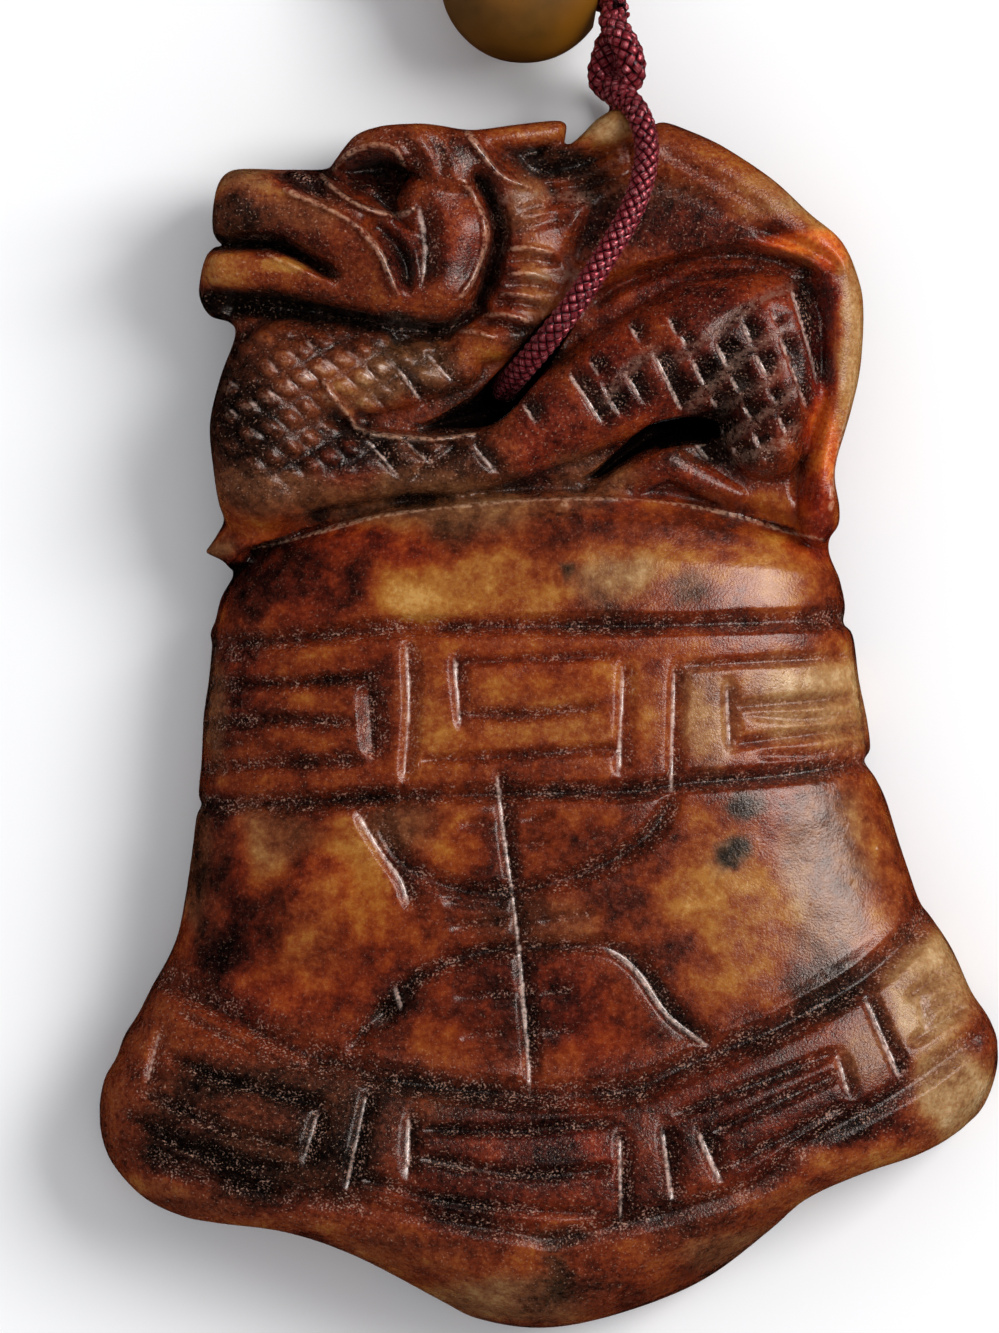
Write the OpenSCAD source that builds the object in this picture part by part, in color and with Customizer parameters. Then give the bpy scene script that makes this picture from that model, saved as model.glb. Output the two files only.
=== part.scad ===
// Carved stone pendant: a temple bell with a coiled dragon on its crown, tied on a braided
// cord with a round bead. It lies on its back, front face up, hem towards -Y.
// Millimetres. Origin: centre of the stone's outline, at the surface it lies on.

/* [Stone] */
// Width of the stone across the two lobes of the hem
stone_w = 48.2; // [40:0.1:60]
// Height of the bell, from the lowest point of the hem to its crown
bell_h = 43.9; // [36:0.1:54]
// Height of the dragon above the bell's crown
dragon_h = 21.2; // [17:0.1:27]
// Thickness of the stone at the bell's skirt
stone_t = 12; // [9:0.1:15]
// How far the dragon's back is cut away, so that the cord can pass behind it
back_relief = 2.3; // [1.9:0.1:3]
// Width of a carved line
line_w = 0.7; // [0.4:0.05:1]
// Depth of a carved line
line_deep = 0.55; // [0.3:0.05:0.9]
// Depth of the cuts between the dragon's scales
scale_deep = 0.5; // [0.3:0.05:0.8]

/* [Cord and bead] */
// Diameter of the braided cord
cord_d = 1.4; // [1:0.1:1.6]
// Diameter of the bead
bead_d = 9; // [8:0.1:12]
// Diameter of the hole through the bead
bead_hole = 3.2; // [3.2:0.1:4.4]
// Width of the knot
knot_w = 3.2; // [2.8:0.1:3.6]
// Length of the knot
knot_l = 4; // [3.4:0.1:4.2]

/* [Colours] */
// Colour of the stone
stone_brown = "#7a3a18"; // ["#7a3a18", "#5c2312", "#9a5a1c"]
// Colour of the bead
bead_ochre = "#96660f"; // ["#96660f", "#a8701a", "#6e4a10"]
// Colour of the cord
cord_red = "#5a1220"; // ["#5a1220", "#7a1c2c", "#2a0a10"]

/* [Hidden] */

stone_h = bell_h + dragon_h;
// The drawing grid: 90 steps across the stone, 82 up the bell and 39.5 up the dragon
step_x = stone_w / 90;
step_bell = bell_h / 82;
step_dragon = dragon_h / 39.5;

// Bell sections from the hem to the crown, each a curve from the left edge to the right.
// Columns: left x, left y, right x, right y, how far the middle hangs below the ends and
// how far the flanks are drawn up again, all in grid steps, then the height of the front
// and of the back edge as shares of the thickness.
BELL = [
  [ 4.0, 12.3, 85.6, 18.8, 15.7, 4.2, 0.44, 0.16],
  [ 2.4, 14.2, 87.4, 21.4, 15.7, 4.0, 0.72, 0.05],
  [ 1.0, 17.2, 89.2, 25.0, 16.0, 3.2, 0.88, 0],
  [ 0.0, 20.5, 90.0, 29.0, 15.1, 2.0, 0.96, 0],
  [ 0.5, 25.0, 88.7, 32.5, 12.2, 1.0, 1.00, 0],
  [ 5.8, 35.0, 83.8, 40.6, 14.6, 0.0, 0.97, 0],
  [ 6.3, 36.0, 83.0, 41.6, 14.6, 0.0, 0.90, 0],
  [ 7.2, 38.0, 82.1, 43.5, 14.2, 0.0, 0.93, 0],
  [ 8.9, 44.1, 79.9, 49.0,  8.2, 0.0, 0.92, 0],
  [ 9.7, 51.2, 78.0, 54.8,  1.0, 0.0, 0.92, 0],
  [10.4, 52.6, 76.4, 56.4,  0.7, 0.0, 0.86, 0],
  [10.2, 54.0, 76.8, 57.8,  0.4, 0.0, 0.92, 0],
  [11.4, 67.8, 75.4, 69.8, -0.6, 0.0, 0.88, 0],
  [11.6, 69.0, 74.6, 71.0, -0.7, 0.0, 0.81, 0],
  [11.8, 70.4, 74.7, 72.2, -0.8, 0.0, 0.85, 0],
  [13.4, 75.6, 74.2, 76.0, -2.6, 0.0, 0.80, 0],
  [15.2, 77.6, 72.7, 78.4, -5.0, 0.0, 0.68, 0.05]
];
// Rows of the table between which each zone of carving lies
SKIRT_ZONE = [3, 5];
BODY_ZONE = [7, 9];
BAND_ZONE = [11, 12];
columns = 18;
// Height of the bell's sides, and how square its section is
side_share = 0.30;
squareness = 2.6;
back_inset = 0.94;
belly_drift = 0.010;

// Straight carved lines. Columns: across and up at one end, then at the other, in hundredths:
// across from the middle (0) to either edge (100), up from the zone's foot (0) to its top (100)
SKIRT_LINES = [
  [-92, 78, -91, 42], [-90, 92, -70, 88], [-70, 88, -52, 92], [-93, 62, -72, 66],
  [-72, 66, -54, 70], [-92, 36, -76, 33], [-76, 33, -60, 34], [-94, 16, -79, 13],
  [-79, 13, -59, 16], [-53, 66, -56, 27], [-43, 93, -46, 14], [-32, 80, -32, 34],
  [-29, 70, 15, 74], [-30, 50, -5, 44], [-5, 44, 15, 41], [-43, 24, -21, 20],
  [-21, 20, 11, 10], [17, 68, 17, 3], [27, 62, 29, 3], [36, 46, 40, 6],
  [71, 56, 73, 20], [79, 88, 82, 24], [30, 70, 70, 60], [38, 46, 71, 40],
  [43, 8, 71, 18], [86, 80, 95, 84], [85, 50, 95, 48]
];
BAND_LINES = [
  [-90, 73, -47, 71], [-50, 66, -48, 25], [-78, 53, -56, 45], [-90, 21, -55, 22],
  [-38, 94, -39, 11], [-23, 87, -22, 43], [-23, 80, 23, 83], [-21, 50, 19, 51],
  [-34, 21, 27, 25], [28, 78, 26, 11], [43, 76, 42, 0], [47, 76, 92, 75],
  [59, 64, 60, 24], [61, 48, 94, 46], [60, 26, 98, 28]
];
BODY_LINES = [
  [-12, 104, -10, 84], [-10, 84, -6, 39], [-6, 39, -3, -6],
  [-51, 95, -39, 72], [-39, 72, -22, 64], [-22, 64, -8, 66], [-8, 66, 22, 74],
  [22, 74, 33, 82], [33, 82, 39, 96],
  [-52, -3, -38, 24], [-38, 24, -22, 40], [-22, 40, -9, 43], [-9, 43, 17, 41],
  [17, 41, 26, 31], [26, 31, 34, 10], [34, 10, 45, -6]
];

// Rounded masses of the dragon. Each is a chain of balls, and each ball is a row: across and
// up from the crown and the radius, in grid steps, and the height of its top as a share of
// the thickness. The ground is cut flat at the back.
GROUND = [
  [[17, 0, 5.0, .60], [17.5, 6, 6.0, .62], [18.5, 13, 6.0, .62], [22, 21, 5, .62]],
  [[22, 21, 5, .62], [34, 29, 6.5, .64], [46, 28, 7.5, .64], [60, 29, 8, .64]],
  [[60, 29, 8, .64], [68, 22, 7, .62], [68, 8, 6, .60], [66, 0, 7, .60]],
  [[17, 0, 5, .6], [32, 3, 4, .6], [46, 3, 4, .6], [66, 0, 7, .6]],
  [[24, 19, 5, .6], [30, 18, 4.5, .6], [36, 17, 4, .6], [44, 20, 4, .62]],
  [[48, 26, 4, .62], [48.6, 21, 3, .6], [53.5, 21, 4, .62], [60, 20, 4, .62]],
  [[30, 33, 3.4, .6], [40, 33, 3, .6], [50, 33.5, 3, .6], [58, 33, 3.4, .6]],
  [[26, 11, 5, .60], [34, 10.5, 4, .60], [42, 10, 3.4, .62], [50, 15, 5, .62]]
];
MASSES = [
  // muzzle and upper jaw
  [[14.9, 30.2, 3.4, .84], [19.5, 30.2, 3.7, .86], [25, 27.8, 4.2, .88], [30.5, 24, 4.2, .9]],
  // lower jaw
  [[12.9, 22.8, 2.8, .80], [18, 23, 2.7, .82], [24, 21.6, 2.8, .84], [30.5, 21.6, 3.2, .86]],
  // jowl and cheek
  [[30.5, 22, 3.6, .88], [34.5, 22.4, 3.8, .9], [35.6, 27.6, 3.6, .9], [33, 30, 4, .86]],
  // brow over the eye
  [[25.4, 34.8, 2.0, .82], [28.4, 36.0, 2.3, .88], [32, 36.0, 2.4, .9], [35, 33, 3, .88]],
  [[32, 36, 2.4, .86], [38, 35.2, 2.4, .8]],
  // mane behind the cheek
  [[35, 35, 3, .84], [40, 31.6, 4, .82], [43.5, 27, 4, .8], [44.5, 21.5, 3.6, .78]],
  [[41, 17.6, 2.4, .76], [37, 15.8, 2.0, .74], [44.5, 19.5, 3, .76]],
  // horns
  [[36, 36.2, 1.9, .78], [41.5, 37, 1.7, .76], [45.7, 37.7, 1.2, .72]],
  [[44, 34.2, 1.5, .72], [48.6, 36.2, 1.6, .74], [52, 37.8, 1.7, .74]],
  // the mane's flame along the back
  [[48, 29, 4, .78], [56, 30.4, 5.2, .8], [65, 27.6, 3.0, .76], [72, 24.6, 1.3, .7]],
  [[48, 29, 4, .78], [46, 22, 3, .74], [44.5, 17.5, 2.4, .72]],
  // rim of the back
  [[55.6, 36.4, 2.0, .70], [62, 34.0, 2.2, .72], [67.5, 30.8, 2.3, .72], [72.2, 27, 2.3, .74]],
  [[72.2, 27, 2.3, .74], [74.3, 22.5, 2.0, .74], [74.6, 18, 1.8, .74], [74.0, 12, 1.8, .74]],
  [[74.0, 12, 1.8, .74], [72.6, 6.5, 1.8, .74], [71.8, 2.5, 1.9, .72], [72.0, -1.2, 2.1, .70]],
  // neck
  [[17.2, 2.0, 5.4, .78], [17.4, 8, 5.9, .84], [19.4, 13.6, 5.6, .82], [26, 14.6, 4.6, .78]],
  [[19.4, 13.6, 5.6, .82], [30, 13.5, 3.2, .76], [36, 14.2, 2.2, .74]],
  [[22, 4.5, 5, .78], [29, 4.6, 3.2, .74], [36, 4.4, 2.8, .74], [40.6, 5.8, 2.8, .76]],
  // coiled body
  [[40.6, 5.8, 3.0, .78], [46, 9, 4.4, .84], [52, 12.5, 5.6, .88], [60, 16, 6.6, .9]],
  [[60, 16, 6.6, .9], [66, 17, 6.8, .9], [67.4, 12, 5.4, .88], [67, 6.8, 4.2, .84]],
  // hill under the body
  [[48.6, 1, 1.3, .68], [57, 4.4, 1.5, .72], [63, 1.4, 1.2, .68]],
  // bud where the line of the back starts, and the spike at the left
  [[13.4, -4.0, 1.3, .5], [11.2, -4.0, 0.6, .46]]
];
// Slots cut right through, for the cord and under the body. Columns: across, up, half width
GAPS = [
  [[31.4, 7.8, 0.4], [37.0, 9.2, 1.0], [40.6, 12.0, 2.0], [43.8, 15.4, 1.9], [46.8, 18.8, 0.8]],
  [[48.8, 3.4, 0.6], [54.0, 6.9, 1.2], [59.0, 7.6, 1.2], [61.6, 7.2, 0.8]]
];
// Deep lines of the head, mane and back. Columns: across and up at both ends, in grid steps,
// and the depth as a share of the thickness
CUTS = [
  [11.4, 26.2, 17, 25.9, .22], [17, 25.9, 23.8, 23.4, .16],
  [24, 34, 27.5, 31.2, .08], [27.5, 31.2, 32.2, 30.2, .08],
  [17.8, 33.2, 23, 30.4, .05], [22, 32, 25, 29, .05], [25, 29, 28.3, 25.6, .05],
  [28.3, 25.6, 29.9, 21.4, .05], [32.6, 29.4, 32.4, 22.6, .06],
  [37.2, 36, 39.8, 31, .10], [39.8, 31, 40.3, 26.6, .10], [40.3, 26.6, 37.6, 20.6, .10],
  [41.2, 26, 45, 26.4, .04], [41.2, 23.6, 45, 23.8, .04], [40.8, 21.4, 44.6, 21.6, .04],
  [39.6, 19.2, 43.6, 18.6, .04],
  [56.5, 35.2, 62.5, 32.0, .07], [62.5, 32, 68, 28.4, .07], [68, 28.4, 73.6, 24.4, .08],
  [49, 19.4, 52.4, 22.4, .08], [52.4, 22.4, 58, 24.6, .08], [58, 24.6, 66, 25.4, .08],
  [66, 25.4, 71, 23.6, .08], [71, 23.6, 73, 15, .10], [73, 15, 71.4, 6, .10],
  [71.4, 6, 70, 0.5, .10]
];
// Crossed cuts between the scales. Each row is a four-cornered field: its corners, upper left,
// lower left, upper right and lower right, in grid steps, then for each set of cuts its slant
// over the field in degrees and its number
SCALES = [
  [[14, 16.0], [13, 2.6], [27, 16.4], [26, 2.0], 45, 6, -42, 6],
  [[55, 18.4], [63.4, 10], [69.2, 22.6], [70.2, 6.0], 86, 5, -24, 5]
];

// Cord route from the knot over the dragon's back, down through the slot, back behind the
// dragon and up to the knot. Millimetres, in the stone's own frame.
STONE_CORD = [
  [4.2, 33.08, 8.2], [4.55, 32.7, 9.0], [4.85, 32.1, 9.6], [5.1, 31.3, 10.0], [5.2, 30.1, 10.2],
  [4.8, 28.2, 10.5], [4.0, 26.4, 10.6], [2.8, 24.4, 10.6], [1.5, 22.4, 10.4], [0.2, 20.7, 9.8],
  [-0.9, 19.4, 8.6], [-1.8, 18.4, 6.8], [-2.3, 17.9, 4.8], [-2.3, 17.8, 2.7],
  [-1.5, 18.6, 1.3], [-0.2, 20.2, 1.1], [1.2, 22.3, 1.1], [2.4, 24.8, 1.1], [3.4, 28.0, 1.1],
  [3.8, 31.6, 1.1], [3.9, 32.8, 1.3], [3.9, 33.8, 1.9], [3.8, 34.5, 2.8], [3.8, 34.8, 3.9],
  [3.8, 34.8, 4.8]
];
// Cord route from the knot through the bead, round the hanging loop and back to the knot.
BEAD_CORD = [
  [3.62, 37.95, 6.85], [3.42, 38.4, 6.15], [2.95, 38.85, 5.55], [2.2, 39.05, 5.27], [1.0, 39.3, 5.25],
  [-1.3, 39.7, 5.25], [-4.5, 40.26, 5.25], [-7.0, 40.85, 4.8], [-9.6, 42.0, 3.2], [-12.4, 43.7, 1.5],
  [-15.2, 46.6, 0.8], [-16.6, 51.0, 0.8], [-16.4, 56.0, 0.8], [-14.6, 61.0, 0.8],
  [-11.2, 65.0, 0.8], [-6.8, 66.4, 0.8], [-2.8, 64.4, 0.8], [-0.9, 60.2, 0.8],
  [-1.4, 55.4, 0.8], [-4.0, 51.6, 0.8], [-7.4, 49.0, 0.8], [-10.2, 46.6, 0.8],
  [-11.2, 43.6, 1.2], [-9.6, 41.5, 2.2], [-7.0, 40.65, 3.35], [-4.5, 40.26, 3.75],
  [-1.3, 39.7, 3.75], [1.0, 39.3, 3.75], [2.2, 38.98, 3.8],
  [2.9, 38.6, 4.05], [3.35, 38.2, 4.5], [3.6, 37.75, 5.05]
];

// Middle of the bead and the way its hole runs, and the knot's middle
bead_at = [-1.3, 39.7];
bead_turn = -10;
knot_at = [3.75, 35.25, 6.9];
// How steeply the knot slopes down to the bead
knot_slope = 23;
// How far the mouths of the bead's hole are eased
bead_ease = 0.3;

function grid_x(step) = step * step_x - stone_w / 2;
function bell_y(step) = step * step_bell - stone_h / 2;
function dragon_y(step) = step * step_dragon + bell_h - stone_h / 2;
function mix(a, b, t) = a + (b - a) * t;

// A point on one bell section, u from -1 at the left edge to 1 at the right. The hem's belly
// is drawn a little to the right.
function section_point(row, u) = let (
    v = u - belly_drift * row[5] * (1 - u * u),
    x = mix(row[0], row[2], (u + 1) / 2),
    y = mix(row[1], row[3], (u + 1) / 2) - row[4] * (1 - v * v) + row[5] * pow(sin(180 * v), 2),
    side = min(side_share, row[6]) * stone_t,
    crown = pow(max(0, 1 - pow(abs(u), squareness)), 1 / squareness)
  ) [grid_x(x), bell_y(y), mix(side, row[6] * stone_t, crown)];
function section_back(row, u) =
  let (p = section_point(row, u * back_inset)) [p[0], p[1], row[7] * stone_t];
function across(j) = sin(-90 + 180 * j / columns);
function section_ring(row) = concat(
  [for (j = [0 : columns]) section_point(row, across(j))],
  [for (j = [columns : -1 : 0]) section_back(row, across(j))]);

// A point of a carved zone: u and v in hundredths, v from the zone's foot to its top
function zone_point(zone, u, v) =
  mix(section_point(BELL[zone[0]], u / 100), section_point(BELL[zone[1]], u / 100), v / 100);

// Height of the dragon's masses over a point in grid steps
function ball_top(a, b, p) = let (
    d = [b[0] - a[0], b[1] - a[1]],
    t = max(0, min(1, (p - [a[0], a[1]]) * d / (d * d))),
    c = mix(a, b, t),
    e = p - [c[0], c[1]],
    rest = c[2] * c[2] - e * e
  ) rest > 0 ? c[3] * stone_t - (c[2] - sqrt(rest)) * step_x : back_relief;
function surface_at(p) = max([for (chain = concat(GROUND, MASSES)) for (i = [1 : len(chain) - 1])
  ball_top(chain[i - 1], chain[i], p)]);

// A point of a four-cornered field, and where a line crosses the unit square
function in_field(f, at) = mix(mix(f[0], f[2], at[0]), mix(f[1], f[3], at[0]), at[1]);
function chord(from, way) = let (
    ends = [for (k = [0, 1]) [for (edge = [0, 1]) (edge - from[k]) / way[k]]]
  ) [max([for (e = ends) min(e)]), min([for (e = ends) max(e)])];

function unit(v) = v / norm(v);
function tangent(path, i) = unit(path[min(i + 1, len(path) - 1)] - path[max(i - 1, 0)]);
function flat_side(v, t) = unit(v - t * (v * t));
// Side vectors carried along a path without twisting
function sides(path) = [for (i = 0, n = flat_side([0.3, 0.1, 1], tangent(path, 0));
  i < len(path);
  i = i + 1, n = i < len(path) ? flat_side(n, tangent(path, i)) : n) n];

module tube(path, d, faces = 8) {
  n = sides(path);
  last = len(path) - 1;
  points = [for (i = [0 : last]) let (t = tangent(path, i), b = cross(t, n[i]))
    for (k = [0 : faces - 1]) path[i] + d / 2 * (n[i] * cos(360 * k / faces) + b * sin(360 * k / faces))];
  skin = [for (i = [0 : last - 1]) for (k = [0 : faces - 1]) let (m = (k + 1) % faces)
    [i * faces + k, i * faces + m, (i + 1) * faces + m, (i + 1) * faces + k]];
  ends = [[for (k = [faces - 1 : -1 : 0]) k], [for (k = [0 : faces - 1]) last * faces + k]];
  polyhedron(points, [for (f = concat(skin, ends)) [for (k = [len(f) - 1 : -1 : 0]) f[k]]]);
}

// The bell: one skin lofted through the sections, with a flat back
module bell() {
  ring = 2 * (columns + 1);
  last = len(BELL) - 1;
  points = [for (row = BELL) each section_ring(row)];
  skin = [for (i = [0 : last - 1]) for (j = [0 : ring - 1]) let (m = (j + 1) % ring)
    [i * ring + j, i * ring + m, (i + 1) * ring + m, (i + 1) * ring + j]];
  foot = [for (j = [0 : columns - 1]) [j + 1, j, ring - 1 - j, ring - 2 - j]];
  head = [for (j = [0 : columns - 1]) [for (k = [3 : -1 : 0]) foot[j][k] + last * ring]];
  polyhedron(points, [for (f = concat(skin, foot, head)) [for (k = [len(f) - 1 : -1 : 0]) f[k]]]);
}

// A carver's groove from p to q: a wedge that is narrow at its foot
module groove(p, q, deep, wide) {
  hull() for (at = [p, q]) translate(at - [0, 0, deep])
    cylinder(h = deep + 1, r1 = wide / 8, r2 = wide / 2 * (deep + 1) / deep, $fn = 4);
}

// Carved lines of one zone, in short runs so that they follow the round of the bell
module zone_lines(zone, lines) {
  for (l = lines) {
    runs = ceil(abs(l[2] - l[0]) / 24 + 0.01);
    stops = [for (k = [0 : runs]) zone_point(zone, mix(l[0], l[2], k / runs), mix(l[1], l[3], k / runs))];
    for (k = [1 : runs]) groove(stops[k - 1], stops[k], line_deep, line_w);
  }
}

// A ball with its sides drawn straight down to the cut-away back
module mass(ball) {
  r = ball[2] * step_x;
  bevel = min(r / 3, 0.6);
  ball_faces = r > 1.4 ? 12 : 8;
  translate([grid_x(ball[0]), dragon_y(ball[1]), 0]) {
    translate([0, 0, max(ball[3] * stone_t - r, back_relief + bevel)]) sphere(r, $fn = ball_faces);
    translate([0, 0, back_relief - bevel / 2])
      cylinder(h = bevel * 1.5, r1 = r - bevel * 1.5, r2 = r, $fn = ball_faces);
  }
}

module chain(balls) {
  for (i = [1 : len(balls) - 1]) hull() { mass(balls[i - 1]); mass(balls[i]); }
}

module dragon_groove(a, b, deep, wide) {
  groove([grid_x(a[0]), dragon_y(a[1]), surface_at(a)], [grid_x(b[0]), dragon_y(b[1]), surface_at(b)],
    deep, wide);
}

// One cut between scales, following the rounded surface
module scale_cut(f, a, b, parts = 2) {
  for (k = [1 : parts]) dragon_groove(in_field(f, mix(a, b, (k - 1) / parts)), in_field(f, mix(a, b, k / parts)),
    scale_deep, line_w);
}

module scale_set(f, slant, count) {
  way = [cos(slant), sin(slant)];
  aside = [-way[1], way[0]];
  reach = (abs(way[0]) + abs(way[1])) / 2;
  for (i = [0 : count - 1]) {
    from = [0.5, 0.5] + aside * mix(-reach, reach, (i + 0.5) / count);
    span = chord(from, way);
    scale_cut(f, from + way * span[0], from + way * span[1]);
  }
}

module slot_through(row) {
  for (i = [1 : len(row) - 1]) hull() for (at = [row[i - 1], row[i]])
    translate([grid_x(at[0]), dragon_y(at[1]), -1]) cylinder(h = stone_t + 2, r = at[2] * step_x, $fn = 12);
}

module stone() color(stone_brown) difference() {
  union() {
    bell();
    intersection() {
      union() for (balls = concat(GROUND, MASSES)) chain(balls);
      translate([-stone_w, bell_y(70), back_relief])
        cube([2 * stone_w, stone_h, stone_t]);
    }
  }
  zone_lines(SKIRT_ZONE, SKIRT_LINES);
  zone_lines(BAND_ZONE, BAND_LINES);
  zone_lines(BODY_ZONE, BODY_LINES);
  for (c = CUTS) dragon_groove([c[0], c[1]], [c[2], c[3]], c[4] * stone_t, line_w);
  for (f = SCALES) { scale_set(f, f[4], f[5]); scale_set(f, f[6], f[7]); }
  for (row = GAPS) slot_through(row);
}

// The bead: a ball turned about its hole, whose two mouths are slightly eased
module bead() color(bead_ochre) translate([bead_at[0], bead_at[1], bead_d / 2])
  rotate([0, 90, bead_turn]) rotate_extrude($fn = 48) {
    open_angle = acos((bead_hole / 2 + bead_ease) / (bead_d / 2));
    polygon(concat(
      [for (i = [0 : 16]) let (a = mix(-open_angle, open_angle, i / 16)) bead_d / 2 * [cos(a), sin(a)]],
      [for (side = [1, -1]) [bead_hole / 2, side * (bead_d / 2 * sin(open_angle) - bead_ease)]]));
  }

// The knot: three turns of the cord drawn tight, with a flat face at each end
module knot() color(cord_red) translate(knot_at) rotate([-90 - knot_slope, 0, 0]) rotate_extrude($fn = 32)
  polygon([[0, -knot_l / 2], [knot_w * 0.44, -knot_l / 2], [knot_w * 0.5, -knot_l * 0.32],
    [knot_w * 0.45, -knot_l * 0.12], [knot_w * 0.5, knot_l * 0.08], [knot_w * 0.48, knot_l * 0.3],
    [knot_w * 0.42, knot_l / 2], [0, knot_l / 2]]);

module stone_cord() color(cord_red) tube(STONE_CORD, cord_d);
module bead_cord() color(cord_red) tube(BEAD_CORD, cord_d);

stone();
bead();
knot();
stone_cord();
bead_cord();
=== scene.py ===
import math

import bmesh
import bpy
import numpy as np
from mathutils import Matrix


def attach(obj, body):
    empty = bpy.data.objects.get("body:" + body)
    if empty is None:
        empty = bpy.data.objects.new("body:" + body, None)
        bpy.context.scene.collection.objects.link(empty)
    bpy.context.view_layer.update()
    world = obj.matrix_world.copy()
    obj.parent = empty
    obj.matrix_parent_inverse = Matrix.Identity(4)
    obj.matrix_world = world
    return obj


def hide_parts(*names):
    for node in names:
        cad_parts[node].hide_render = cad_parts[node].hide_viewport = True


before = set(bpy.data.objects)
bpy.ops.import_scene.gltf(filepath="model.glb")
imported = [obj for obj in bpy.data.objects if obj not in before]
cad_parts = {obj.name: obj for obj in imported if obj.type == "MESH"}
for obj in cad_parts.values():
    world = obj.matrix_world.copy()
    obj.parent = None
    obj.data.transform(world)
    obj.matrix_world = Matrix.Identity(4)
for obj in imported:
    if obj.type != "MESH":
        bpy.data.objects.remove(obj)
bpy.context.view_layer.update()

import openvdb
from mathutils import Vector

MM = 0.001

# Camera. The pendant lies on its back on a white table, and the camera looks straight down
# at it from far off, through a long lens, so every height keeps its place in the picture.
IMAGE_HIGH = 1333
DOTS_PER_MM = 18.7
sensor_high = 36
camera_height = 0.9
focus_height = 4.5 * MM
picture_centre = (-2.62 * MM, 2.94 * MM)
camera_data = bpy.data.cameras.new("camera")
camera_data.sensor_width = sensor_high
camera_data.lens = sensor_high * (camera_height - focus_height) / (IMAGE_HIGH / DOTS_PER_MM * MM)
camera_data.clip_start, camera_data.clip_end = 0.05, 20
camera = bpy.data.objects.new("camera", camera_data)
camera.location = (*picture_centre, camera_height)
bpy.context.scene.collection.objects.link(camera)
bpy.context.scene.camera = camera

# Cord round the stone. It is burgundy silk, braided from twelve flat strands over a core.
# It leaves the knot, crosses the dragon's back, dives through the pierced slot and comes
# back behind the stone to the knot.
cord_d, braid_pitch, braid_step = 1.4, 3.9, 0.12
STONE_CORD = [
    (4.2, 33.08, 8.2), (4.55, 32.7, 9.0), (4.85, 32.1, 9.6), (5.1, 31.3, 10.0), (5.2, 30.1, 10.2),
    (4.8, 28.2, 10.5), (4.0, 26.4, 10.6), (2.8, 24.4, 10.6), (1.5, 22.4, 10.4), (0.2, 20.7, 9.8),
    (-0.9, 19.4, 8.6), (-1.8, 18.4, 6.8), (-2.3, 17.9, 4.8), (-2.3, 17.8, 2.7), (-1.5, 18.6, 1.3),
    (-0.2, 20.2, 1.1), (1.2, 22.3, 1.1), (2.4, 24.8, 1.1), (3.4, 28.0, 1.1), (3.8, 31.6, 1.1),
    (3.9, 32.8, 1.3), (3.9, 33.8, 1.9), (3.8, 34.5, 2.8), (3.8, 34.8, 3.9), (3.8, 34.8, 4.8),
]


def eased(points, parts):
    """The points of a smooth line through the given ones, with so many parts to a stretch."""
    p = np.array(points, float)
    p = np.vstack([2 * p[0] - p[1], p, 2 * p[-1] - p[-2]])
    out = []
    for i in range(1, len(p) - 2):
        for t in np.arange(parts) / parts:
            out.append(0.5 * (2 * p[i] + (p[i + 1] - p[i - 1]) * t
                              + (2 * p[i - 1] - 5 * p[i] + 4 * p[i + 1] - p[i + 2]) * t ** 2
                              + (3 * p[i] - p[i - 1] - 3 * p[i + 1] + p[i + 2]) * t ** 3))
    out.append(p[-2])
    return np.array(out)


class Wire:
    """A socket in a material. Arithmetic on it adds Math nodes, and node() adds any other."""

    def __init__(self, tree, socket=None):
        self.tree, self.socket = tree, socket

    def node(self, kind, settings=None, sockets=None, out=0):
        n = self.tree.nodes.new(kind)
        for name, value in (settings or {}).items():
            if name == "stops":
                while len(n.color_ramp.elements) < len(value):
                    n.color_ramp.elements.new(0.5)
                for stop, (at, colour) in zip(n.color_ramp.elements, value):
                    stop.position, stop.color = at, (*colour, 1)
            else:
                setattr(n, name, value)
        for name, value in (sockets or {}).items():
            if isinstance(value, Wire):
                self.tree.links.new(value.socket, n.inputs[name])
            else:
                n.inputs[name].default_value = value
        return Wire(self.tree, n.outputs[out]) if n.outputs else n

    def maths(self, operation, *values):
        return self.node("ShaderNodeMath", {"operation": operation}, dict(enumerate(values)))

    def __add__(self, other):
        return self.maths("ADD", self, other)

    def __sub__(self, other):
        return self.maths("SUBTRACT", self, other)

    def __mul__(self, other):
        return self.maths("MULTIPLY", self, other)

    def __rsub__(self, other):
        return self.maths("SUBTRACT", other, self)

    __radd__, __rmul__ = __add__, __mul__

    def between(self, low, high):
        """0 under low, 1 over high and a smooth rise between."""
        return self.node("ShaderNodeMapRange", {"interpolation_type": "SMOOTHSTEP"},
                         {"Value": self, "From Min": low, "From Max": high})

    def noise(self, at, per_mm, detail=3.0, roughness=0.55):
        return self.node("ShaderNodeTexNoise", {}, {
            "Vector": at, "Scale": per_mm / MM, "Detail": detail, "Roughness": roughness})

    def place(self):
        return self.node("ShaderNodeTexCoord", out=3)

    def given(self, name, out=2):
        """What is written on the mesh's points under this name."""
        return self.node("ShaderNodeAttribute", {"attribute_name": name}, out=out)

    def bumped(self, height, deep_mm, strength):
        return self.node("ShaderNodeBump", {}, {
            "Height": height, "Distance": deep_mm * MM, "Strength": strength})

    def mixed(self, share, a, b):
        """Colour a turned towards colour b."""
        n = self.tree.nodes.new("ShaderNodeMix")
        n.data_type = "RGBA"
        for socket, value in ((n.inputs[0], share), (n.inputs[6], a), (n.inputs[7], b)):
            if isinstance(value, Wire):
                self.tree.links.new(value.socket, socket)
            else:
                socket.default_value = value if isinstance(value, float) else (*value, 1)
        return Wire(self.tree, n.outputs[2])


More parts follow.
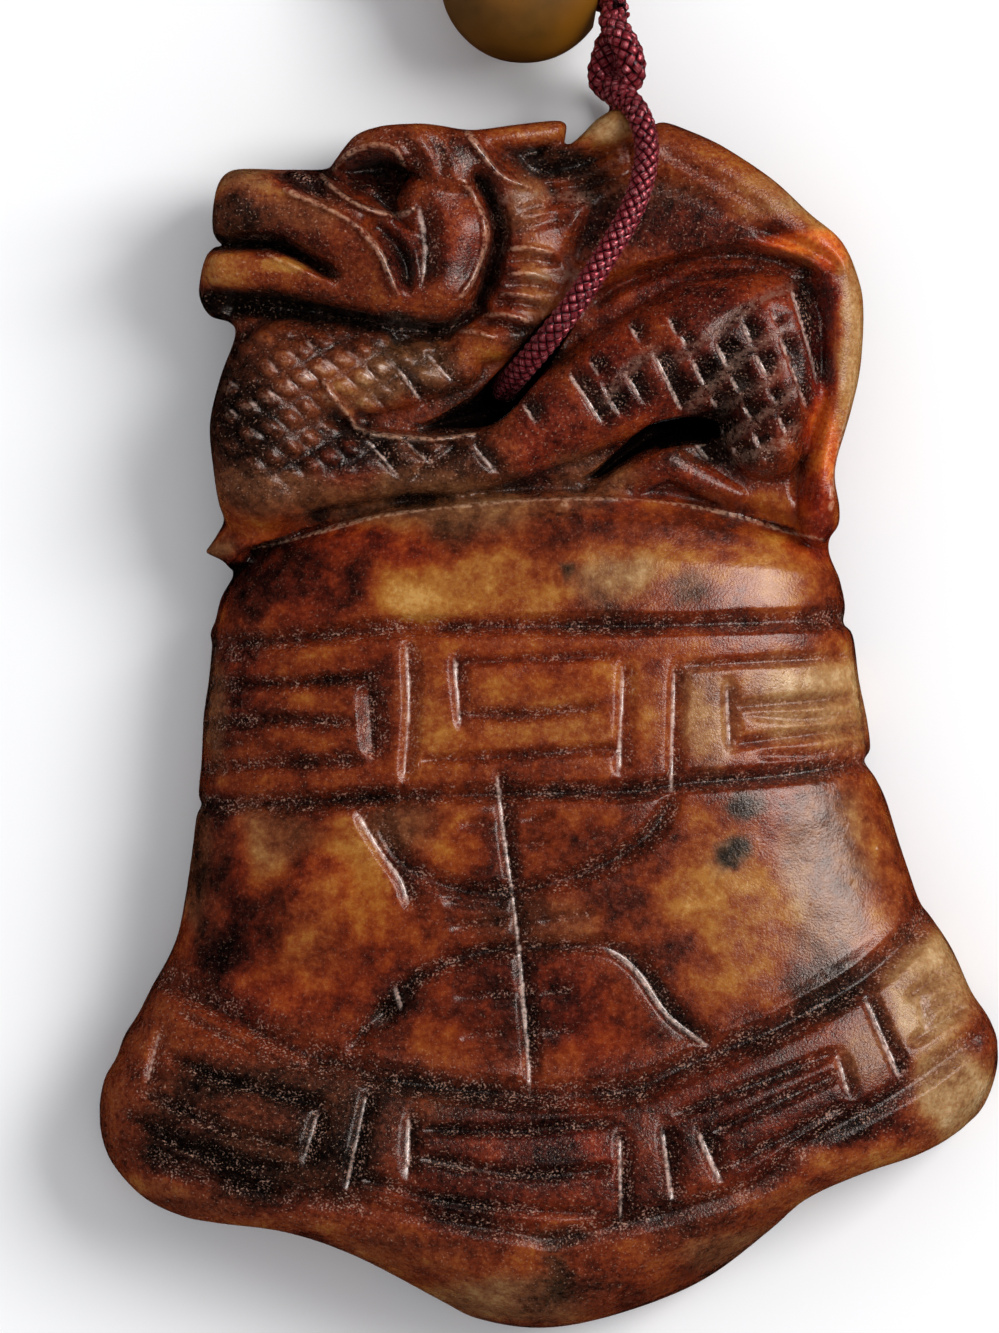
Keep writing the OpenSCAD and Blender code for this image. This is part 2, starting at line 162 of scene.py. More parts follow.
def ink(code):
    """A colour code as Blender's linear red, green and blue."""
    parts = [int(code[i:i + 2], 16) / 255 for i in (1, 3, 5)]
    return tuple(c / 12.92 if c <= 0.04045 else ((c + 0.055) / 1.055) ** 2.4 for c in parts)


def surface(name, finish, constants):
    """A material. finish(start) gives what changes over the surface, by socket name."""
    material = bpy.data.materials.new(name)
    material.use_nodes = True
    tree = material.node_tree
    shader = next(n for n in tree.nodes if n.type == "BSDF_PRINCIPLED")
    for socket, value in constants.items():
        shader.inputs[socket].default_value = value
    for socket, wire in finish(Wire(tree)).items():
        tree.links.new(wire.socket, shader.inputs[socket])
    return material


def silk(start):
    """Twisted silk: painted shade where strands dive and painted highlights on the tops of the picks, with
    fine fibres along each of them.
    """
    fibres_round, fibres_per_m = 26.0, 900.0
    over = start.given("over")
    fibre_at = start.node("ShaderNodeCombineXYZ", {}, {
        0: start.given("round") * fibres_round, 1: start.given("along") * fibres_per_m})
    fibre = start.node("ShaderNodeTexNoise", {}, {"Vector": fibre_at, "Scale": 1.0, "Detail": 2.0})
    worn = start.noise(start.place(), 0.5, 2.0)
    deep, red, pick_highlight = ink("#080103"), ink("#9e202e"), ink("#f4b8bc")
    # painted shade where strands dive under the others
    colour = start.mixed(over.between(0.4, 0.9), deep, red)
    # painted highlight on the top of each pick
    colour = start.mixed(fibre.between(0.48, 0.66) * over.between(0.7, 1.0) * 0.75, colour, pick_highlight)
    colour = start.mixed(worn.between(0.4, 0.7) * 0.3, colour, ink("#3c0a14"))
    return {"Base Color": colour, "Roughness": 0.2 + fibre * 0.12,
            "Normal": start.bumped(fibre, 0.03, 0.7)}


silk_red = surface("silk_cord", silk, {
    "Sheen Weight": 0.12, "Sheen Roughness": 0.4, "Sheen Tint": (*ink("#e08c94"), 1),
    "Metallic": 0.55, "Specular IOR Level": 1.0, "Specular Tint": (1.0, 0.6, 0.65, 1),
    "Coat Weight": 0.3, "Coat Roughness": 0.2})


def braid_tree(material):
    """Strands wound both ways round a curve, each passing over and under the others."""
    # shares of the cord's diameter
    winding_radius, weave_depth, core_radius, strand_thick, strand_wide = 0.365, 0.048, 0.33, 0.09, 0.155
    strand_sides, core_sides = 6, 10
    tree = bpy.data.node_groups.new("braid", "GeometryNodeTree")
    face = tree.interface
    face.new_socket("Geometry", in_out="INPUT", socket_type="NodeSocketGeometry")
    for name, value in (("Diameter", cord_d * MM), ("Pitch", braid_pitch * MM),
                        ("Step", braid_step * MM)):
        face.new_socket(name, in_out="INPUT", socket_type="NodeSocketFloat").default_value = value
    face.new_socket("Strands", in_out="INPUT", socket_type="NodeSocketInt").default_value = 6
    face.new_socket("Geometry", in_out="OUTPUT", socket_type="NodeSocketGeometry")
    start = Wire(tree)

    def add(kind, settings=None, sockets=None, out=0):
        return start.node(kind, settings, sockets, out)

    def sums(operation, *values):
        return add("ShaderNodeMath", {"operation": operation}, dict(enumerate(values)))

    def vectors(operation, *values):
        return add("ShaderNodeVectorMath", {"operation": operation}, dict(enumerate(values)))

    given = tree.nodes.new("NodeGroupInput")
    path, diameter, pitch, step, strands = (Wire(tree, given.outputs[i]) for i in range(5))
    line = add("GeometryNodeResampleCurve", {"mode": "LENGTH"}, {"Curve": path, "Length": step})
    several = add("GeometryNodeDuplicateElements", {"domain": "SPLINE"},
                  {"Geometry": line, "Amount": sums("MULTIPLY", strands, 2.0)})
    number = Wire(tree, several.socket.node.outputs["Duplicate Index"])
    back = sums("GREATER_THAN", number, sums("SUBTRACT", strands, 0.5))
    way = sums("SUBTRACT", 1.0, sums("MULTIPLY", back, 2.0))
    far = add("GeometryNodeSplineParameter", out=1)
    turn = sums("DIVIDE", sums("MULTIPLY", far, 2 * math.pi), pitch)
    angle = sums("ADD", sums("MULTIPLY", way, turn),
                 sums("DIVIDE", sums("MULTIPLY", number, 2 * math.pi), strands))
    wave = sums("MULTIPLY", way, sums("COSINE", sums("MULTIPLY", turn, strands)))
    radius = sums("MULTIPLY", diameter,
                  sums("ADD", winding_radius, sums("MULTIPLY", wave, weave_depth)))
    normal = add("GeometryNodeInputNormal")
    aside = vectors("CROSS_PRODUCT", add("GeometryNodeInputTangent"), normal)

    def spread(direction, share):
        return add("ShaderNodeVectorMath", {"operation": "SCALE"},
                   {0: direction, "Scale": sums("MULTIPLY", radius, sums(share, angle))})

    offset = vectors("ADD", spread(normal, "COSINE"), spread(aside, "SINE"))

    def stored(geometry, name, value):
        return add("GeometryNodeStoreNamedAttribute", {"data_type": "FLOAT", "domain": "POINT"},
                   {"Geometry": geometry, "Name": name, "Value": value})

    marked = stored(stored(several, "over", sums("ADD", 0.5, sums("MULTIPLY", wave, 0.5))),
                    "along", far)
    marked = add("GeometryNodeStoreNamedAttribute", {"data_type": "FLOAT_VECTOR", "domain": "POINT"},
                 {"Geometry": marked, "Name": "outward", "Value": offset})
    outward = add("GeometryNodeInputNamedAttribute", {"data_type": "FLOAT_VECTOR"}, {"Name": "outward"})
    wound = add("GeometryNodeSetPosition", {}, {"Geometry": marked, "Offset": outward})
    wound = add("GeometryNodeSetCurveNormal", {"mode": "FREE"}, {"Curve": wound, "Normal": outward})
    ring = add("GeometryNodeCurvePrimitiveCircle", {}, {"Resolution": strand_sides, "Radius": 1.0})
    ring = stored(ring, "round", add("GeometryNodeSplineParameter", out=0))
    flat = add("ShaderNodeCombineXYZ", {}, {0: sums("MULTIPLY", diameter, strand_thick),
                                            1: sums("MULTIPLY", diameter, strand_wide), 2: 1.0})
    profile = add("GeometryNodeTransform", {}, {"Geometry": ring, "Scale": flat})
    core_ring = add("GeometryNodeCurvePrimitiveCircle", {}, {
        "Resolution": core_sides, "Radius": sums("MULTIPLY", diameter, core_radius)})
    both = tree.nodes.new("GeometryNodeJoinGeometry")
    for way_along, section in ((line, core_ring), (wound, profile)):
        tube = add("GeometryNodeCurveToMesh", {}, {
            "Curve": way_along, "Profile Curve": section, "Fill Caps": True})
        tree.links.new(tube.socket, both.inputs[0])
    smooth = add("GeometryNodeSetShadeSmooth", {}, {"Geometry": Wire(tree, both.outputs[0])})
    real = add("GeometryNodeRealizeInstances", {}, {"Geometry": smooth})
    painted = add("GeometryNodeSetMaterial", {}, {"Geometry": real, "Material": material})
    result = tree.nodes.new("NodeGroupOutput")
    tree.links.new(painted.socket, result.inputs[0])
    return tree


braid = braid_tree(silk_red)


def braided(name, points, diameter):
    """A plain mesh of braided cord that follows the points, which are in millimetres."""
    curve = bpy.data.curves.new(name, "CURVE")
    curve.dimensions = "3D"
    spline = curve.splines.new("POLY")
    spline.points.add(len(points) - 1)
    for point, (x, y, z) in zip(spline.points, points):
        point.co = (x * MM, y * MM, z * MM, 1)
    guide = bpy.data.objects.new(name + "_guide", curve)
    bpy.context.scene.collection.objects.link(guide)
    modifier = guide.modifiers.new("braid", "NODES")
    modifier.node_group = braid
    sizes = {"Diameter": diameter, "Pitch": braid_pitch, "Step": braid_step}
    for socket in braid.interface.items_tree:
        if socket.name in sizes:
            modifier[socket.identifier] = sizes[socket.name] * MM
    graph = bpy.context.evaluated_depsgraph_get()
    mesh = bpy.data.meshes.new_from_object(guide.evaluated_get(graph), depsgraph=graph)
    mesh.name = name
    bpy.data.objects.remove(guide)
    piece = bpy.data.objects.new(name, mesh)
    bpy.context.scene.collection.objects.link(piece)
    if not mesh.materials:
        mesh.materials.append(silk_red)
    return piece


points_between = 8
stone_route = eased(STONE_CORD, points_between)
stone_cord = braided("stone_cord_braid", stone_route, cord_d)
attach(stone_cord, "root")
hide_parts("stone_cord")

# Hanging loop. The same cord goes on from the knot through the bead, turns in a short loop
# to hang the pendant by, and comes back through the bead to the knot.
BEAD_CORD = [
    (3.62, 37.95, 6.85), (3.42, 38.4, 6.15), (2.95, 38.85, 5.55), (2.2, 39.05, 5.27), (1.0, 39.3, 5.25),
    (-1.3, 39.7, 5.25), (-4.5, 40.26, 5.25), (-7.0, 40.85, 4.8), (-9.6, 42.0, 3.2), (-12.4, 43.7, 1.5),
    (-15.2, 46.6, 0.8), (-16.6, 51.0, 0.8), (-16.4, 56.0, 0.8), (-14.6, 61.0, 0.8), (-11.2, 65.0, 0.8),
    (-6.8, 66.4, 0.8), (-2.8, 64.4, 0.8), (-0.9, 60.2, 0.8), (-1.4, 55.4, 0.8), (-4.0, 51.6, 0.8),
    (-7.4, 49.0, 0.8), (-10.2, 46.6, 0.8), (-11.2, 43.6, 1.2), (-9.6, 41.5, 2.2), (-7.0, 40.65, 3.35),
    (-4.5, 40.26, 3.75), (-1.3, 39.7, 3.75), (1.0, 39.3, 3.75), (2.2, 38.98, 3.8), (2.9, 38.6, 4.05),
    (3.35, 38.2, 4.5), (3.6, 37.75, 5.05),
]
loop_route = eased(BEAD_CORD, points_between)
bead_cord = braided("bead_cord_braid", loop_route, cord_d)
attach(bead_cord, "root")
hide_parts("bead_cord")

# Knot. Both runs of the cord are tied together in one tight knot: a bight comes down on the
# right, passes under itself, fills the left side and leaves below towards the stone. The
# cord is slightly thicker in it, because nothing stretches it there.
knot_at, knotted_d = np.array([3.75, 35.25, 6.9]), 1.56
KNOT = [
    (-0.13, 2.7, -0.05), (-0.35, 2.1, 0.1), (-0.02, 1.45, 0.7), (0.4, 0.7, 1.1), (0.68, -0.15, 1.1),
    (0.6, -0.95, 0.45), (0.0, -1.4, -0.5), (-0.62, -1.4, -0.55), (-0.96, -0.8, -0.6),
    (-0.74, 0.25, -0.65), (-0.45, 1.05, -0.8), (0.1, 1.2, -1.1), (0.1, 0.45, -1.2), (0.0, -0.4, -1.3),
    (-0.35, -1.1, -0.9), (-0.45, -1.5, -0.1), (-0.15, -1.75, 0.5), (0.2, -1.95, 0.95), (0.45, -2.17, 1.3),
]
knot = braided("tied_knot", eased(np.array(KNOT) + knot_at, points_between - 1), knotted_d)
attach(knot, "root")
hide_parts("knot")

# Bead. A round bead of waxed ochre stone, drilled across, whose mouths are slightly eased.
# It sits on both runs of the cord, just above the knot, and lies on the table.
bead_d, bead_hole, mouth_ease = 9.0, 3.2, 0.3
bead_at, bead_turn = (-1.3, 39.7), -10


def bead_mesh():
    outer, inner = bead_d / 2, bead_hole / 2
    mouth = math.acos((inner + mouth_ease) / outer)
    rim = [(outer * math.cos(a), outer * math.sin(a)) for a in np.linspace(-mouth, mouth, 56)]
    half = rim[-1][1]
    turn_in = [(inner + mouth_ease * (1 - math.sin(a)), half - mouth_ease * (1 - math.cos(a)))
               for a in np.linspace(0.15, math.pi / 2, 6)]
    bore = [(inner, s) for s in np.linspace(half - mouth_ease * 1.4, -half + mouth_ease * 1.4, 9)]
    profile = rim + turn_in + bore + [(r, -s) for r, s in reversed(turn_in)]
    around, lumpiness = 128, 0.004
    spin = np.linspace(0, 2 * math.pi, around, endpoint=False)
    tilt = math.radians(bead_turn)
    points = []
    for r, s in profile:
        for a in spin:
            lump = 1 + lumpiness * math.sin(3 * a + s) * math.cos(0.7 * s)
            r_here = r * (lump if r > inner * 1.3 else 1)
            across, up = r_here * math.cos(a), r_here * math.sin(a)
            x = s * math.cos(tilt) - across * math.sin(tilt)
            y = s * math.sin(tilt) + across * math.cos(tilt)
            points.append(((bead_at[0] + x) * MM, (bead_at[1] + y) * MM, (outer + up) * MM))
    rows = len(profile)
    faces = [(i * around + j, i * around + (j + 1) % around,
              ((i + 1) % rows) * around + (j + 1) % around, ((i + 1) % rows) * around + j)
             for i in range(rows) for j in range(around)]
    mesh = bpy.data.meshes.new("round_bead")
    mesh.from_pydata(points, [], faces)
    return mesh


def waxed_ochre(start):
    place = start.place()
    cloud = start.noise(place, 0.09, 3.0)
    grain = start.noise(place, 1.4, 5.0, 0.6)
    speck = start.noise(place, 5.0, 2.0)
    colour = start.mixed(cloud.between(0.35, 0.62), ink("#503204"), ink("#7c4b02"))
    colour = start.mixed(start.noise(place, 0.2, 2.0).between(0.5, 0.68) * 0.5, colour, ink("#40300a"))
    colour = start.mixed(grain.between(0.3, 0.7) * 0.3, colour, ink("#744a0a"))
    colour = start.mixed(speck.between(0.66, 0.74) * 0.35, colour, ink("#3a2408"))
    return {"Base Color": colour, "Roughness": 0.42 + grain * 0.16,
            "Normal": start.bumped(grain, 0.02, 0.5)}


ochre = surface("waxed_ochre", waxed_ochre, {
    "Subsurface Weight": 0.12, "Subsurface Radius": (1.0, 0.55, 0.15), "Subsurface Scale": 0.9 * MM,
    "Specular IOR Level": 0.35, "Coat Weight": 0.05, "Coat Roughness": 0.35})


def facing_out(mesh):
    """Turns every face outwards and shades the mesh smoothly."""
    work = bmesh.new()
    work.from_mesh(mesh)
    bmesh.ops.recalc_face_normals(work, faces=work.faces)
    work.to_mesh(mesh)
    work.free()
    mesh.shade_smooth()
    return mesh


bead = bpy.data.objects.new("round_bead", facing_out(bead_mesh()))
bpy.context.scene.collection.objects.link(bead)
bead.data.materials.append(ochre)
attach(bead, "root")
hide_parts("bead")

# Carved stone. One slab of brown jade-like stone, about 48 by 65 by 12 mm: a temple bell
# with fret bands, and on its crown a coiled dragon, carved in relief and pierced in two
# places. Its front is cut, drilled and polished by hand, and its back is flat and rubbed.
stone_w, stone_t, foot_y = 48.2, 12.0, -32.55
# It is drawn on a grid of 90 steps across, with steps of the same size up from the foot
step = stone_w / 90
crown_y = 82
middle_x = 44
back_relief = 2.3
cell = 0.105
reach_x, reach_y = 24.75, 33.2
xs, ys = np.arange(-reach_x, reach_x, cell), np.arange(-reach_y, reach_y, cell)
GX, GY = np.meshgrid((xs + stone_w / 2) / step, (ys - foot_y) / step, indexing="ij")

# The outline of the stone, clockwise from the dragon's snout, in grid steps
OUTLINE = [
    (11.5, 110.0), (11.6, 112.0), (12.1, 114.4), (13.1, 115.6), (14.8, 115.9), (18.5, 115.8),
    (22.6, 115.9), (23.8, 116.8), (25.8, 119.1), (28.0, 119.9), (30.4, 120.2), (33.4, 120.2),
    (36.4, 119.7), (38.4, 119.7), (42.0, 120.2), (45.6, 120.6), (46.7, 120.3), (46.7, 119.2),
    (46.6, 118.4), (47.2, 118.3), (48.4, 119.3), (49.7, 120.7), (51.3, 121.7), (52.6, 121.9),
    (53.6, 121.0), (54.6, 119.9), (56.4, 120.6), (59.2, 119.7), (62.3, 118.2), (67.1, 115.0),
    (70.9, 111.5), (74.3, 108.5), (75.9, 104.8), (76.4, 101.6), (76.1, 96.2), (75.3, 92.4), (74.5, 89.6),
    (73.7, 87.0), (73.5, 84.9), (74.0, 82.2), (73.9, 80.4), (73.0, 78.9), (73.2, 77.2), (74.1, 75.0),
    (74.7, 72.4), (74.5, 70.6), (75.5, 69.3), (76.1, 64.9), (76.9, 60.9), (77.2, 58.0), (76.6, 56.8),
    (77.8, 55.0), (78.8, 52.9), (80.0, 49.0), (81.0, 45.9), (82.1, 42.8), (83.3, 41.2), (85.4, 38.0),
    (87.2, 33.9), (89.0, 31.2), (89.9, 28.8), (89.8, 25.6), (88.3, 21.9), (85.4, 19.4), (81.7, 17.5),
    (76.2, 15.7), (70.7, 13.2), (67.1, 9.9), (61.6, 5.5), (56.1, 2.9), (48.8, 0.8), (43.3, 0.2),
    (37.8, 1.1), (34.2, 2.9), (25.7, 7.5), (18.9, 9.9), (12.0, 10.8), (8.3, 11.5), (4.3, 13.5),
    (0.9, 17.5), (0.1, 21.8), (0.6, 25.0), (1.8, 27.2), (2.6, 29.4), (4.0, 31.6), (5.4, 34.4),
    (7.0, 37.2), (8.1, 40.0), (8.8, 44.0), (9.4, 48.0), (9.8, 51.2), (10.3, 52.5), (10.0, 53.6),
    (10.3, 57.1), (10.5, 61.3), (11.0, 64.9), (11.3, 68.2), (11.2, 69.6), (11.7, 71.0), (12.2, 73.0),
    (13.2, 75.4), (12.6, 76.7), (10.9, 77.6), (11.1, 78.2), (11.9, 79.4), (12.6, 80.9), (12.1, 82.6),
    (11.6, 85.6), (11.2, 90.4), (12.2, 95.0), (13.7, 99.2), (13.2, 100.6), (11.2, 101.3), (10.2, 103.0),
    (10.2, 104.8), (10.8, 107.0), (11.6, 108.1), (12.4, 108.3), (11.8, 109.0),
]
# The two places where the carving is pierced
PIERCED = [
    [(31.2, 89.8), (34.0, 91.2), (37.5, 93.4), (40.2, 95.9), (42.6, 98.6), (45.0, 101.4),
     (47.3, 102.4), (47.6, 100.6), (46.4, 98.4), (44.6, 95.6), (42.4, 92.8), (40.5, 90.9),
     (38.5, 90.1), (35.0, 89.8)],
    [(47.9, 84.6), (50.0, 86.2), (52.2, 88.2), (55.0, 90.4), (58.0, 91.1), (61.5, 90.8),
     (62.5, 89.6), (60.8, 88.5), (58.5, 88.3), (56.9, 88.0), (54.5, 87.4), (52.0, 86.0),
     (50.0, 84.6)],
]


def looped(points, parts):
    """A smooth closed line through the points."""
    return eased(points[-1:] + points + points[:2], parts)[parts:-parts - 1]


window_x, window_y = 0.9, 0.43


def from_line(points, closed, reach):
    """How far each cell near a line is from it, in steps, how far along it that is, and
    which side it is on: 1 towards the window, -1 away from it."""
    p = np.array(points, float)[:, :2]
    if closed:
        p = np.vstack([p, p[:1]])
    far = np.full(GX.shape, float(reach))
    along, side = np.zeros(GX.shape), np.zeros(GX.shape)
    run = 0.0
    for a, b in zip(p[:-1], p[1:]):
        d = b - a
        size = float(np.hypot(*d)) or 1e-6
        i0, i1 = np.searchsorted(GX[:, 0], (min(a[0], b[0]) - reach, max(a[0], b[0]) + reach))
        j0, j1 = np.searchsorted(GY[0], (min(a[1], b[1]) - reach, max(a[1], b[1]) + reach))
        x, y = GX[i0:i1, j0:j1] - a[0], GY[i0:i1, j0:j1] - a[1]
        t = np.clip((x * d[0] + y * d[1]) / size ** 2, 0, 1)
        x, y = x - t * d[0], y - t * d[1]
        e = np.hypot(x, y)
        part = far[i0:i1, j0:j1]
        closer = e < part
        along[i0:i1, j0:j1][closer] = (run + t * size)[closer]
        side[i0:i1, j0:j1][closer] = ((window_x * x + window_y * y) / (e + 1e-6))[closer]
        np.minimum(part, e, out=part)
        run += size
    return far, along, run, side


def inside(points):
    p = np.array(points, float)
    within = np.zeros(GX.shape, bool)
    for a, b in zip(p, np.roll(p, -1, axis=0)):
        if a[1] != b[1]:
            rows = (GY[0] > min(a[1], b[1])) & (GY[0] <= max(a[1], b[1]))
            cross = a[0] + (GY[0][rows] - a[1]) / (b[1] - a[1]) * (b[0] - a[0])
            within[:, rows] ^= GX[:, rows] > cross
    return within


def signed(points, reach):
    """Distance from a closed line in mm: below zero inside it."""
    line = looped(points, 6)
    far = from_line(line, True, reach)[0]
    return np.where(inside(line), -far, far) * step


def uneven(size_mm, seed):
    """A soft random unevenness with lumps of about this size, from -1 to 1."""
    rng = np.random.RandomState(seed)

    def spread(places):
        at = (places - places[0]) / size_mm
        k = np.floor(at).astype(int)
        t = (at - k)[:, None]
        share = np.hstack([(1 - t) ** 3, 3 * t ** 3 - 6 * t ** 2 + 4,
                           -3 * t ** 3 + 3 * t ** 2 + 3 * t + 1, t ** 3]) / 6
        table = np.zeros((len(places), k[-1] + 4))
        for c in range(4):
            table[np.arange(len(places)), k + c] = share[:, c]
        return table

    across, up = spread(xs), spread(ys)
    return across @ rng.uniform(-1, 1, (across.shape[1], up.shape[1])) @ up.T * 1.6


def blurred(field, radius_mm):
    """The field under a soft round brush of this radius."""
    fx = np.fft.fftfreq(field.shape[0], cell)[:, None]
    fy = np.fft.rfftfreq(field.shape[1], cell)[None]
    soft = np.exp(-2 * (math.pi * radius_mm) ** 2 * (fx ** 2 + fy ** 2))
    return np.fft.irfft2(np.fft.rfft2(field) * soft, s=field.shape)


def joined(a, b, blend):
    """The higher of two heights, with the valley between them filled a little."""
    h = np.clip(blend - np.abs(a - b), 0, None) / max(blend, 1e-9)
    return np.maximum(a, b) + h * h * blend / 4


outline = signed(OUTLINE, 14)
depth_in = np.clip(-outline, 0, None)

# The bell's sections from the hem to the crown: left x, left y, right x, right y, how far
# the middle hangs below the ends and how far the flanks are drawn up again, all in steps,
# then the height of the front as a share of the thickness
BELL = [
    (7.0, 8.6, 82.2, 13.6, 15.7, 4.4, 0.02), (4.0, 12.3, 85.6, 18.8, 15.7, 4.2, 0.42),
    (2.4, 14.2, 87.4, 21.4, 15.7, 4.0, 0.70), (1.0, 17.2, 89.2, 25.0, 16.0, 3.2, 0.87),
    (0.0, 20.5, 90.0, 29.0, 15.1, 2.0, 0.955), (0.5, 25.0, 88.7, 32.5, 12.2, 1.0, 0.99),
    (5.8, 35.0, 83.8, 40.6, 14.6, 0.0, 0.955), (7.2, 38.0, 82.1, 43.5, 14.2, 0.0, 0.90),
    (8.9, 44.1, 79.9, 49.0, 8.2, 0.0, 0.905), (9.7, 51.2, 78.0, 54.8, 1.0, 0.0, 0.91),
    (10.4, 54.0, 76.8, 57.8, 0.4, 0.0, 0.90), (11.4, 67.8, 75.4, 69.8, -0.6, 0.0, 0.885),
    (11.8, 70.4, 74.7, 72.2, -0.8, 0.0, 0.86), (13.0, 74.4, 74.4, 75.2, -2.2, 0.0, 0.82),
    (14.4, 76.8, 73.4, 77.5, -4.1, 0.0, 0.75), (15.4, 78.0, 72.6, 78.8, -5.2, 0.0, 0.66),
]
side_share, squareness = 0.30, 2.6


def bell_height():
    """Height of the bell's front over each cell, from points laid closely over its skin."""
    rows = np.array(BELL)
    points_up, points_across = ((2600, 1300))
    at = np.linspace(0, len(rows) - 1, points_up)
    row = np.array([np.interp(at, np.arange(len(rows)), column) for column in rows.T])[:, :, None]
    u = np.linspace(-1.03, 1.03, points_across)[None]
    v = u - 0.01 * row[5] * (1 - u * u)
    x = row[0] + (row[2] - row[0]) * (u + 1) / 2
    y = row[1] + (row[3] - row[1]) * (u + 1) / 2 - row[4] * (1 - v * v) \
        + row[5] * np.sin(math.pi * v) ** 2
    round_side = np.clip(1 - np.abs(u) ** squareness, 0, 1) ** (1 / squareness)
    side = np.minimum(side_share, row[6])
    z = stone_t * (side + (row[6] - side) * round_side)
    i = np.rint((x * step - stone_w / 2 - xs[0]) / cell).astype(int)
    j = np.rint((y * step + foot_y - ys[0]) / cell).astype(int)
    ok = (i >= 0) & (i < len(xs)) & (j >= 0) & (j < len(ys))
    height = np.zeros(GX.shape)
    height[i[ok], j[ok]] = np.broadcast_to(z, x.shape)[ok]
    return height


bell = bell_height()
on_bell = bell > 0

# Rounded masses of the dragon. Each is a chain of balls: across, up from the crown and the
# radius, in steps, and the height of its top as a share of the thickness
MASSES = {
    "muzzle": [(14.9, 29.9, 3.6, .84), (19.5, 29.8, 3.9, .86), (25, 27.4, 4.3, .885),
               (30, 23.6, 4.2, .90)],
    "lower jaw": [(12.9, 23.9, 2.1, .77), (18, 23.8, 2.3, .80), (24, 22.7, 2.5, .83),
                  (30.5, 21.4, 2.9, .86)],
    "jowl": [(29.5, 21.6, 3.2, .87), (34.3, 22.0, 3.6, .885)],
    "cheek": [(34.3, 22.4, 3.9, .89), (35.8, 27.4, 3.8, .90), (33.4, 30.2, 3.6, .87)],
    "brow": [(25.6, 35.5, 1.6, .82), (28.6, 36.6, 1.8, .87), (32, 36.2, 2.2, .90),
             (35.2, 33.6, 2.8, .89)],
    "eye": [(25.6, 32.8, 2.3, .70), (30.2, 31.6, 2.4, .72)],
    "behind cheek": [(41.6, 30, 2.8, .81), (42.6, 25.6, 3.2, .80), (41.6, 21, 3.0, .79)],
    "forehead": [(32, 36, 2.5, .87), (37, 35.8, 2.2, .82)],
    "nape": [(36.0, 35.4, 2.6, .85), (39.8, 32.2, 3.6, .83), (43.5, 27.4, 4, .80),
             (44.3, 21.5, 3.6, .78)],
    "lower mane": [(41, 17.6, 2.4, .76), (37, 16.2, 2.0, .73), (44.5, 19.5, 3, .76)],
    "front horn": [(36.5, 36.4, 1.9, .80), (41.5, 37.1, 1.75, .78), (45.6, 37.6, 1.3, .73)],
    "back horn": [(45.2, 34.6, 1.4, .70), (48.8, 36.2, 1.6, .74), (52, 38.0, 1.75, .76)],
    "between horns": [(41, 34.2, 1.8, .70), (45.5, 33.4, 1.8, .68), (51.5, 34.6, 1.8, .68)],
    "flame": [(47, 27.0, 5, .74), (54, 28.6, 6.5, .735), (64, 27.4, 5, .725), (72, 24.8, 2, .70)],
    "mane root": [(47, 28, 4, .77), (46, 22, 3, .74), (44.5, 17.5, 2.4, .70)],
    "back ridge": [(55.6, 35.2, 3.2, .70), (61, 32.8, 3.8, .72), (66.4, 29.4, 3.9, .735),
                   (71, 25.6, 3.3, .74)],
    "back edge": [(71.6, 26, 3.0, .745), (73.6, 22.0, 2.7, .745), (74.0, 17.5, 2.4, .74),
                  (73.6, 12, 2.2, .73)],
    "tail edge": [(73.6, 12, 2.2, .73), (72.5, 6.5, 2.0, .73), (71.9, 2.5, 1.9, .73),
                  (71.9, -1.2, 2.1, .70)],
    "neck": [(17.0, 2.0, 5.4, .76), (17.2, 8, 5.9, .83), (19.4, 13.4, 5.6, .81), (26, 14.2, 4.6, .77)],
    "throat": [(19.4, 13.4, 5.6, .81), (30, 13.2, 3.4, .75), (36, 14.4, 2.4, .72)],
    "chest": [(22, 4.5, 5, .77), (29, 4.4, 3.4, .74), (36, 4.2, 3.2, .74), (41.5, 5.6, 3.0, .77)],
    "coil": [(41.0, 5.8, 3.2, .77), (46, 9, 4.5, .83), (52, 12.5, 5.6, .87), (60, 16, 6.6, .89)],
    "haunch": [(60, 16, 6.6, .89), (66, 17, 6.8, .89), (67.4, 12, 5.4, .87), (66.8, 7.2, 4.2, .82)],
    "hill": [(49.5, .8, 1.4, .66), (57, 4.6, 1.6, .71), (63.4, 1.0, 1.4, .66)],
    "spike": [(13.9, -4.3, 1.4, .5), (11.6, -4.2, 0.8, .46)],
}
WIDE_VALLEYS = ("coil", "haunch", "muzzle", "jowl", "cheek", "neck", "throat", "chest")
ground_share, ground_swell, band_y, valley, wide_valley = 0.50, 0.115, 60, 0.4, 0.7
ground = stone_t * (ground_share + ground_swell * np.clip(depth_in / 2.2, 0, 1) ** 0.6)
height = np.where(on_bell, bell, np.where(GY > band_y, ground, side_share * stone_t))
height = np.where(GY < band_y, np.maximum(height, side_share * stone_t), height)


